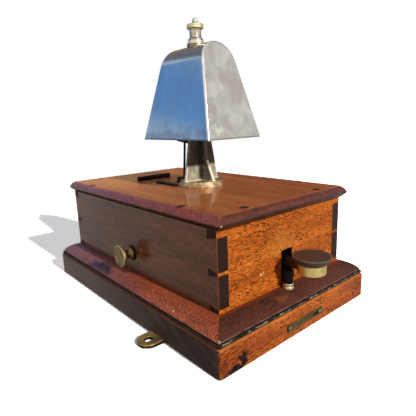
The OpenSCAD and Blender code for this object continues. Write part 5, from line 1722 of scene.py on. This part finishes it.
    def pillar(self) -> None:
        """The pillar: a turned flange and foot, a cross of webs that flare into it, and a top boss.

        The webs taper in two straight stretches, and near the foot their thickness grows along a quarter
        of a circle of the root's radius.
        """
        skin = Skin()
        place = np.array([self.axis_x, 0.0, DECK])
        r, foot, step, h = self.flange_r, self.foot_r, self.flange_h, self.foot_h
        line = soften([[0, 0], [r, 0], [r, step], [foot, step], [foot, h], [0, h]], [0.3, 0.9, 0.6, 0.7], 5)
        worn = 0.55 * peak(line[:, 0], r - 0.3, 0.7) * (line[:, 1] > step / 2)
        skin.lathe(line, 96, place, wear=worn)
        top, root = self.cushion_z - DECK, self.web_root
        s = np.linspace(0, root, 8)
        z = np.concatenate([h - 0.4 + s, np.linspace(h + root, top, 40)])
        flare = np.zeros_like(z)
        flare[: len(s)] = root * (1 - np.sqrt(np.maximum(1 - (1 - s / root) ** 2, 0)))
        lx = np.interp(z, [h, self.web_bend[0], top], [*self.web_x, self.boss_r]) + 0.5 * flare
        ly = np.interp(z, [h, self.web_bend[1], top], [*self.web_y, self.boss_r]) + 0.4 * flare
        lx, ly = np.minimum(lx, foot - 0.2), np.minimum(ly, foot - 0.2)
        rings = self.web_ring(lx, ly, self.web_t / 2 + flare, z)
        # Wear round each ring: 1 on the web tips, which the finish rubs pale, partly worn metal and partly
        # painted highlight; -1 in the hollows, which it darkens as painted shade. Rows near the foot get 0.9,
        # a painted highlight along the fillets.
        mark = np.concatenate([np.ones(6), np.zeros(2), -np.ones(5), np.zeros(2), np.ones(5)])
        wear = np.concatenate([mark, mark[::-1], mark, mark[::-1]])
        root_highlight = np.where(flare > 0.15 * root, 0.9, -1.0)
        skin.solid(rings + place, np.maximum(wear[None, :], root_highlight[:, None]))
        r, tip, shoulder = self.boss_r, top - 22, top - 19
        skin.lathe(soften([[0, tip], [r, shoulder], [r, top], [0, top]], [1.0, 0.6], 4), 48, place)
        dress(skin, "pillar_casting", "pillar_casting", ["bell_pillar"], sharp_deg=34)

    def finial(self) -> None:
        """The washer, column, nut and threaded stud, each turned about the pillar's axis."""
        bore, seat, shoulder = self.stud_r + BORE_GAP, self.column_z - 1.4, self.column_z
        washer = soften([[bore, seat], [8.7, seat], [8.7, shoulder], [bore, shoulder]], [0.3, 0.5], 4)
        column_corners = [
            [bore, 0], [8.0, 0], [8.0, 1.7], [7.2, 2.1], [7.7, 2.6], [7.5, 3.3],
            [5.85, 4.8], [5.85, 11.2], [6.4, 11.7], [6.4, 12.6], [bore, 12.6],
        ]
        column = soften(column_corners, [0.4, 0.4, 0.3, 0.4, 0.4, 1.2, 1.0, 0.4, 0.3], 5)
        column[:, 1] += self.column_z
        nut_corners = [
            [bore, 0], [7.6, 0], [8.4, 0.8], [8.4, 2.0], [8.1, 2.3],
            [8.4, 2.6], [8.4, 3.8], [7.6, 4.6], [bore, 4.6],
        ]
        nut = soften(nut_corners, [0.3, 0.4, 0.2, 0.2, 0.2, 0.4, 0.4], 4)
        nut[:, 1] += self.nut_z

        def knurl(t: Points, h: Points) -> Points:
            """Fine ribs round the nut's rim, up to 0.18 mm deep."""
            rim = np.exp(-(((h - self.nut_z - 2.3) / 1.6) ** 4))
            return 0.09 * rim * (np.cos(44 * t) - 1)

        radius, tip = self.stud_r - 0.16, self.stud_top - self.stud_dome
        z = np.linspace(self.nut_z + 3.0, tip, 60)
        dome = np.linspace(0, np.pi / 2, 9)[1:]
        stud_line = np.vstack([
            [[0, z[0]]],
            np.column_stack([np.full_like(z, radius), z]),
            np.column_stack([radius * np.cos(dome), z[-1] + self.stud_dome * np.sin(dome)]),
        ])

        def thread(t: Points, h: Points) -> Points:
            """A screw thread: a wave on the radius that climbs 1 mm a turn, faded at the tip and the foot."""
            fade = np.clip((tip - 0.3 - h) / 0.4, 0, 1) * np.clip(h - z[0], 0, 1)
            return 0.15 * fade * np.cos(t - 2 * np.pi * h)

        parts = [
            ("crown_washer", washer, 64, None, "worn_nickel", "steel", "seat_washer"),
            ("finial_column_turned", column, 72, None, "worn_nickel", "brass", "finial_column"),
            ("finial_nut_knurled", nut, 132, knurl, "nut_brass", "brass", "finial_nut"),
            ("bell_stud_threaded", stud_line, 32, thread, "green_steel", "steel", "bell_stud"),
        ]
        for name, line, sides, wave, finish, slot, node in parts:
            skin = Skin()
            worn = peak(line[:, 0], line[:, 0].max(), 0.4)
            closed = not np.isclose(line[0, 0], 0)
            skin.lathe(line, sides, (self.axis_x, 0.0, 0.0), wear=worn, closed=closed, wave=wave)
            dress(skin, name, finish, [node])

    def build(self) -> None:
        """Builds and dresses the gong."""
        self.pillar()
        self.bell()
        self.seat()
        self.finial()
        finish_nodes("cushion_leather", "cushion_washer")
        self.screws()


@dataclass
class Hammer:
    """The hammer on its pivot and the electromagnet that pulls it."""

    pivot: tuple[float, float, float] = (-17.568, 0.0, 93.4)
    throw_deg: float = 6.2
    length: float = 77.9
    head_r: float = 8.0
    strike_x: float = -7.435
    head_tail: float = 10.0
    rod_r: float = 1.3
    boss_foot: float = 9.0
    boss_top: float = 29.6
    core_x: float = -61.568
    core_y: float = 20.0
    bobbin_r: float = 16.0
    bobbin_low: float = 46.6
    bobbin_top: float = 83.4

    def at_rest(self, pts: Points) -> Points:
        """Sets points of the upright hammer at rest: turned about Y by the throw, then moved to the pivot."""
        a = math.radians(self.throw_deg)
        x, y, z = pts[..., 0], pts[..., 1], pts[..., 2]
        turned_pts = np.stack([x * math.cos(a) + z * math.sin(a), y, -x * math.sin(a) + z * math.cos(a)], -1)
        return turned_pts + np.asarray(self.pivot)

    def swinging(self) -> None:
        """The boss, rod and head, made upright and set at rest."""
        boss = Skin()
        rounded_box(boss, (-8.5, -4, self.boss_foot), (5, 4, self.boss_top), 0.6, 0.8)
        boss.points = [self.at_rest(p) for p in boss.points]
        dress(boss, "hammer_boss_block", "black_iron", ["hammer_boss"], Body.HAMMER)
        rod = Skin()
        r, low, high = self.rod_r, 4.1, self.length + 4.9
        line = np.array([[0, low], [r, low], [r, high], [0, high]])
        rod.grid(self.at_rest(turned(line, 24)), wrap_cols=True)
        dress(rod, "hammer_rod_round", "black_iron", ["hammer_rod"], Body.HAMMER)
        head = Skin()
        t = np.linspace(-np.pi / 2, 0, 15)
        r, strike, end = self.head_r, self.strike_x, self.head_tail
        nose = np.column_stack([r * np.cos(t), strike + r * np.sin(t)])
        tail = soften([[r, strike], [r, end - 2.0], [r - 2.0, end], [0, end]], [0.8, 0.6], 5)
        line = np.vstack([nose, tail[1:]])
        head.grid(self.at_rest(set_at(turned(line, 48), (0, 0, self.length), "X")), wrap_cols=True)
        dress(head, "hammer_head_turned", "black_iron", ["hammer_head"], Body.HAMMER)

    def windings(self) -> None:
        """The coils: turned sleeves whose radius ripples once per turn of wire."""
        cheek, pitch, bore = 2.6, 0.9, 7.4
        z = np.linspace(self.bobbin_low + cheek, self.bobbin_top - cheek, 180)
        ripple = self.bobbin_r - 1.3 + 0.28 * np.abs(np.sin(np.pi * (z - z[0]) / pitch))
        line = np.vstack([[[bore, z[0]]], np.column_stack([ripple, z]), [[bore, z[-1]]], [[bore, z[0]]]])
        skin = Skin()
        for side in (-1, 1):
            skin.lathe(line, 48, (self.core_x, side * self.core_y, 0.0))
        dress(skin, "coil_windings_wound", "wire_silk", ["coil_windings"])

    def spring(self) -> None:
        """The hammer's return spring, a wound wire between its anchor and the hammer's tail."""
        lo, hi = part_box("hammer_spring")
        low, high = np.array(lo) / MM, np.array(hi) / MM
        skin = Skin()
        tube = helix_tube(radius=2.6, wire=0.4, turns=16, height=high[2] - low[2])
        skin.solid(tube + np.array([(low[0] + high[0]) / 2, 0.0, low[2]]))
        dress(skin, "hammer_spring_wound", "bright_steel", ["hammer_spring"])

    def build(self) -> None:
        """Builds and dresses the hammer and its magnet."""
        self.swinging()
        self.windings()
        self.spring()
        finish_nodes("soft_iron", "magnet_yoke", "magnet_cores", "armature")
        finish_nodes("ebonite", "coil_bobbins")
        finish_nodes("dull_brass", "hammer_bracket", "rest_stop_post", "spring_anchor", "hammer_lever")
        finish_nodes("bright_steel", "yoke_screws", "hammer_bracket_screws", "armature_screws")
        finish_nodes("bright_steel", "hammer_pivot", "rest_stop_screw")


@dataclass
class Tapper:
    """The tapper key, its stop post and what carries it inside the case."""

    pivot_x: float = 85.0
    pivot_z: float = 61.25
    knob_x: float = 158.7
    lever_low: float = 57.5
    lever_high: float = 65.0
    lever_half: float = 4.5
    tail_x: float = 58.0
    hub_r: float = 6.0
    hub_half: float = 6.0
    ferrule_r: float = 12.2
    ferrule_low: float = 57.1
    ferrule_high: float = 65.5
    knob_r: float = 16.4
    knob_h: float = 6.7
    post: tuple[float, float] = (137.3, -4.4)
    post_r: float = 4.6
    post_low: float = 33.2
    post_high: float = 54.6
    collar_r: float = 5.6
    collar_high: float = 43.0
    spring_x: float = 102.0

    def lever(self) -> None:
        """The lever: a rounded bar and a turned hub across it."""
        skin = Skin()
        half, end, bore, r = self.lever_half, self.hub_half, 2.55, self.hub_r
        low, high = (self.tail_x, -half, self.lever_low), (self.knob_x, half, self.lever_high)
        rounded_box(skin, low, high, 0.6, 0.8)
        hub = soften([[bore, -end], [r, -end], [r, end], [bore, end]], 0.4)
        skin.lathe(hub, 40, (self.pivot_x, 0, self.pivot_z), "Y", closed=True)
        # The bar takes the lugs' dark brown finish, which stands in for the shade of the knob: painted shade
        dress(skin, "tapper_lever_bar", "lug_brass", ["tapper_lever"], Body.TAPPER)

    def ferrule(self) -> None:
        """The ferrule under the knob, turned with fine tool marks: its radius ripples once every 0.8 mm."""
        r, low, high = self.ferrule_r, self.ferrule_low, self.ferrule_high
        z = np.linspace(low + 0.5, high - 0.1, 42)
        side = r - 0.06 - 0.05 * np.cos(2 * np.pi * z / 0.8)
        line = np.vstack([
            [[0, low], [r - 0.6, low], [r - 0.15, low + 0.2]],
            np.column_stack([side, z]),
            [[r - 0.3, high], [0, high]],
        ])
        worn = (line[:, 1] < low + 0.6) * (line[:, 0] > 1) * 0.8
        skin = Skin()
        skin.lathe(line, 88, (self.knob_x, 0, 0), wear=worn)
        dress(skin, "tapper_ferrule", "ferrule_brass", body=Body.TAPPER)

    def knob(self) -> None:
        """The knob: an underside that bellies out by a parabola, a rounded lip and a top dished by 0.4 mm."""
        r, h = self.knob_r, self.knob_h
        rise, inner = h - 1.1, r - 2.6
        under = np.linspace(0, 1, 13)[:, None]
        p, q = np.array([self.ferrule_r, 0.0]), np.array([r, rise])
        belly = p + (q - p) * under + np.array([0.8, -0.6]) * 4 * under * (1 - under) * 0.65
        lip = soften([[r, rise], [r, h], [inner, h - 0.1]], 0.8, 7)
        dish = np.linspace(inner, 0, 9)
        top = np.column_stack([dish, h - 0.4 + 0.3 * (dish / inner) ** 2])
        line = np.vstack([[[0, 0]], belly, lip[1:], top[1:]])
        worn = peak(line[:, 0], r - 0.3, 0.5) * (line[:, 1] > rise - 0.4)
        skin = Skin()
        skin.lathe(line, 96, (self.knob_x, 0, self.ferrule_high), wear=worn)
        dress(skin, "tapper_knob_turned", "ebonite", ["tapper_knob"], Body.TAPPER)

    def stop(self) -> None:
        """The stop post, fluted by a wave on its radius, and the stepped collar near its foot."""
        r, low, high, top = self.post_r, self.post_low, self.post_high, self.collar_high
        z = np.linspace(low, high - 0.6, 40)
        side = np.column_stack([np.full_like(z, r), z])
        line = np.vstack([[[0, low]], side, [[r - 0.5, high], [0, high]]])

        def flutes(t: Points, h: Points) -> Points:
            """Ten round flutes 0.55 mm deep between the collar and the post's top."""
            fade = np.clip((h - top - 0.4) / 0.5, 0, 1) * np.clip((high - 1.0 - h) / 0.6, 0, 1)
            return -0.55 * fade * np.clip(np.cos(10 * t), 0, 1) ** 0.8

        post = Skin()
        post.lathe(line, 120, (*self.post, 0), wave=flutes)
        dress(post, "stop_post_fluted", "black_iron", ["stop_post"])
        inner, outer = r + BORE_GAP, self.collar_r
        corners = [
            [inner, FLOOR - 1.6], [outer - 0.3, FLOOR - 1.6], [outer, FLOOR - 0.9], [outer, FLOOR + 0.6],
            [outer - 0.7, FLOOR + 1.2], [outer - 0.7, top - 1.6], [outer - 0.3, top - 1.0],
            [outer - 0.5, top], [inner, top],
        ]
        line = soften(corners, [0.3, 0.2, 0.3, 0.5, 0.3, 0.4, 0.5], 4)
        collar = Skin()
        collar.lathe(line, 48, (*self.post, 0), wear=(line[:, 1] > top - 3) * 0.7, closed=True)
        dress(collar, "stop_post_foot", "pale_brass", ["stop_post_collar"])

    def spring(self) -> None:
        """The tapper's spring, a wound wire."""
        lo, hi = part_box("tapper_spring")
        tube = helix_tube(radius=3.4, wire=0.5, turns=6, height=(hi.z - lo.z) / MM)
        skin = Skin()
        skin.solid(tube + np.array([self.spring_x, 0, FLOOR]))
        piece = dress(skin, "tapper_spring_wound", "bright_steel", ["tapper_spring"])
        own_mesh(piece)

    def build(self) -> None:
        """Builds and dresses the tapper."""
        self.lever()
        self.ferrule()
        self.knob()
        self.stop()
        self.spring()
        finish_nodes("dull_brass", "tapper_bracket", "front_contact", "back_contact", "terminals")
        finish_nodes("bright_steel", "tapper_bracket_screws", "tapper_pivot", "knob_screw")
        finish_nodes("ebonite", "terminal_strip")


@dataclass
class Catch:
    """The turn knob on the long side, with its collar."""

    x: float = 2.2
    face_y: float = -83.1
    z: float = 58.3
    collar_r: float = 8.0
    collar_t: float = 1.4
    bore: float = 3.05

    def build(self) -> None:
        """Builds and dresses the catch: its collar and knob are turned about an axis out of the long side."""
        spot = (self.x, self.face_y, self.z)
        bore, r, t = self.bore, self.collar_r, self.collar_t
        line = soften([[bore, 0], [r, 0], [r, 0.5], [r - 1.0, t], [bore, t]], [0.2, 0.3, 0.5], 4)
        collar = Skin()
        collar.lathe(line, 56, spot, "-Y", closed=True)
        dress(collar, "catch_collar_turned", "black_iron", ["catch_collar"])
        corners = [
            [0, 1.7], [6.2, 1.7], [6.1, 2.6], [4.6, 4.4], [4.6, 7.2], [5.9, 10.4], [11.0, 12.0], [11.0, 14.6],
            [10.4, 15.0], [9.5, 15.0], [8.8, 13.9], [5.5, 13.7], [0, 13.8],
        ]
        line = soften(corners, [0.3, 0.5, 1.2, 1.4, 2.2, 1.1, 0.7, 0.4, 0.4, 0.6, 1.5], 6)
        worn = peak(line[:, 0], 10.6, 0.6) * (line[:, 1] > 12.5)
        knob = Skin()
        knob.lathe(line, 96, spot, "-Y", worn)
        dress(knob, "turn_knob", "dull_brass", ["catch_knob"], Body.CATCH)
        finish_nodes("bright_steel", "catch_spindle", "catch_tongue")
        finish_nodes("dull_brass", "catch_keeper")


@dataclass(frozen=True)
class Lamp:
    """One lamp of the studio: how strong, how wide in degrees, its tint and where it shines from."""

    name: str
    strength: float
    angle: float
    tint: tuple[float, float, float]
    place: tuple[float, float, float]


@dataclass
class Studio:
    """The floor, the light and the camera."""

    focal_px: float = 384.55
    frame_px: float = 416.0
    yaw: float = 49.80
    pitch: float = 12.92
    roll: float = -2.25
    place: tuple[float, float, float] = (336.68, -262.83, 186.81)
    lamps_set: tuple[Lamp, ...] = (
        Lamp("key", 3.0, 1.2, (1.0, 0.96, 0.9), (0.885, 0.025, 0.463)),
        Lamp("side", 0.52, 60.0, (0.9, 0.95, 1.0), (-0.3, -0.87, 0.4)),
        Lamp("back", 0.8, 60.0, (1.0, 1.0, 1.0), (-0.62, 0.7, 0.35)),
    )
    fill: float = 0.05
    floor_tone: float = 0.8
    floor_seen: float = 3.0
    floor_r: float = 1500.0
    floor_fade: tuple[float, float] = (0.55, 1.1)
    backdrop_r: float = 1600.0
    backdrop_round: tuple[float, float] = (64.0, 244.0)
    backdrop_rise: tuple[float, float] = (-3.0, 66.0)
    sky_middle: float = 215.0
    sky_low: Colour = (0.3, 0.57, 0.98, 1.0)
    sky_high: Colour = (0.15, 0.37, 0.84, 1.0)
    trees: Colour = (0.14, 0.24, 0.38, 1.0)
    haze: Colour = (0.68, 0.82, 1.0, 1.0)
    overhead: Colour = (0.19, 0.2, 0.25, 1.0)
    zenith: Colour = (0.42, 0.42, 0.46, 1.0)
    room_dim: Colour = (0.05, 0.03, 0.02, 1.0)
    room_warm: Colour = (0.6, 0.36, 0.18, 1.0)
    room_pale: Colour = (0.45, 0.45, 0.47, 1.0)

    def floor(self) -> None:
        """A pale round floor that fades out into the white world around it."""
        t = np.linspace(0, 2 * np.pi, 96, endpoint=False)
        rings = np.linspace(0, self.floor_r, 4)[:, None]
        skin = Skin()
        skin.grid(np.stack([rings * np.cos(t), rings * np.sin(t), -0.05 + 0 * rings * t], -1), wrap_cols=True)
        piece = skin.build("floor")
        material, g = bare_material("pale_floor")
        seen = g.add("LightPath").outputs["Is Camera Ray"]
        tone = (self.floor_tone,) * 3 + (1.0,)
        bright = (self.floor_seen,) * 3 + (1.0,)
        diffuse = g.add("BsdfDiffuse", {0: g.mix(seen, tone, bright)}).outputs[0]
        away = g.add("VectorMath", {0: g.place()}, operation="LENGTH").outputs["Value"]
        clear = g.add("BsdfTransparent").outputs[0]
        faded = g.add("MixShader", {0: g.span(away, *self.floor_fade), 1: diffuse, 2: clear}).outputs[0]
        g.add("OutputMaterial", {"Surface": faded})
        piece.data.materials.append(material)

    def world(self) -> None:
        """A world that looks white and lights softly."""
        world = bpy.data.worlds.new("studio")
        bpy.context.scene.world = world
        world.use_nodes = True
        world.node_tree.nodes.clear()
        g = Graph(world.node_tree)
        path = g.add("LightPath").outputs
        through = g.math("MAXIMUM", path["Is Glossy Ray"], path["Is Transmission Ray"])
        seen = g.math("MAXIMUM", path["Is Camera Ray"], through)
        soft = g.add("Background", {0: (0.92, 0.96, 1.0, 1), 1: self.fill}).outputs[0]
        white = g.add("Background", {0: (1, 1, 1, 1), 1: 1.0}).outputs[0]
        mixed = g.add("MixShader", {0: seen, 1: soft, 2: white}).outputs[0]
        g.add("OutputWorld", {"Surface": mixed})

    def lamps(self) -> None:
        """A low key from the tapper's end, like late sun, and wide soft lamps on the other sides."""
        for lamp in self.lamps_set:
            data = bpy.data.lights.new(lamp.name, "SUN")
            data.energy = lamp.strength
            data.angle = math.radians(lamp.angle)
            data.color = lamp.tint
            piece = bpy.data.objects.new(lamp.name, data)
            bpy.context.scene.collection.objects.link(piece)
            piece.rotation_euler = Vector(lamp.place).to_track_quat("Z", "Y").to_euler()
            piece.visible_glossy = lamp.name == "key"

    def backdrop(self) -> None:
        """A backdrop that only shows in reflections: open sky past the long side, a dim room behind the top.

        It is a patch of a sphere, x = r cos e cos a, y = r cos e sin a, z = r sin e. Its colour goes by the
        height over the horizon, sin e, and by the cosine of the angle to the sky's middle.
        """
        a = np.radians(np.linspace(*self.backdrop_round, 60))[None, :]
        e = np.radians(np.linspace(*self.backdrop_rise, 24))[:, None]
        skin = Skin()
        pts = np.stack([np.cos(e) * np.cos(a), np.cos(e) * np.sin(a), np.sin(e) + 0 * a], -1)
        skin.grid(self.backdrop_r * pts)
        piece = skin.build("backdrop")
        material, g = bare_material("backdrop")
        way = g.add("VectorMath", {0: g.place()}, operation="NORMALIZE").outputs[0]
        rise = g.split(way)["Z"]
        middle = (math.cos(math.radians(self.sky_middle)), math.sin(math.radians(self.sky_middle)), 0.0)
        towards = g.add("VectorMath", {0: way, 1: middle}, operation="DOT_PRODUCT").outputs["Value"]
        sky = g.mix(g.span(rise, 0.27, 0.35), self.sky_low, self.sky_high)
        sky = g.mix(g.span(rise, 0.43, 0.51, 0.0, 0.4), sky, self.sky_low)
        trees = g.span(g.noise(way, (40, 40, 60), 5.0, 0.8), 0.4, 0.58)
        skyline = g.mix(trees, self.trees, self.haze)
        sky = g.mix(g.span(rise, 0.34, 0.26, 0.0, 0.7), sky, skyline)
        band = g.times(g.span(rise, 0.51, 0.54), g.span(rise, 0.66, 0.58))
        sky = g.mix(g.times(band, 0.7), sky, self.haze)
        room = g.mix(g.span(towards, 0.05, 0.6), self.room_dim, self.room_warm)
        room = g.mix(g.span(towards, -0.2, -0.45), room, self.room_pale)
        colour = g.mix(g.span(towards, 0.5, 0.8), room, sky)
        above = g.mix(g.span(rise, 0.7, 0.9), self.overhead, self.zenith)
        colour = g.mix(g.span(rise, 0.58, 0.68), colour, above)
        light = g.add("Emission", {0: colour, 1: 1.0}).outputs[0]
        g.add("OutputMaterial", {"Surface": light})
        piece.data.materials.append(material)
        piece.visible_camera = False
        piece.visible_diffuse = False
        piece.visible_shadow = False
        piece.visible_transmission = False

    def camera(self) -> None:
        """The camera: its back, right and up vectors from yaw, pitch and roll."""
        yaw, pitch, roll = (math.radians(v) for v in (self.yaw, self.pitch, self.roll))
        back = Vector((math.sin(yaw) * math.cos(pitch), -math.cos(yaw) * math.cos(pitch), math.sin(pitch)))
        right = Vector((math.cos(yaw), math.sin(yaw), 0.0))
        up = back.cross(right)
        turned_right = math.cos(roll) * right + math.sin(roll) * up
        turned_up = -math.sin(roll) * right + math.cos(roll) * up
        data = bpy.data.cameras.new("photo_view")
        data.sensor_width = 36.0
        data.lens = self.focal_px * data.sensor_width / self.frame_px
        data.clip_start = 0.01
        view = bpy.data.objects.new("photo_view", data)
        bpy.context.scene.collection.objects.link(view)
        spot = Vector(self.place) * MM
        facing = Matrix((turned_right, turned_up, back)).transposed().to_4x4()
        view.matrix_world = Matrix.Translation(spot) @ facing
        bpy.context.scene.camera = view

    def build(self) -> None:
        """Builds the studio."""
        bpy.context.scene.view_settings.view_transform = "Standard"
        self.floor()
        self.world()
        self.lamps()
        self.backdrop()
        self.camera()


def write_sizes() -> None:
    """Updates the view layer."""
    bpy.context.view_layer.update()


def main() -> None:
    """Builds the object's sub-assemblies and the studio in order."""
    logging.basicConfig(level=logging.INFO, format="%(name)s: %(message)s")
    for maker in (Base(), Case(), Gong(), Hammer(), Tapper(), Catch(), Studio()):
        LOG.info("building %s", type(maker).__name__)
        maker.build()
    write_sizes()


if __name__ == "__main__":
    main()
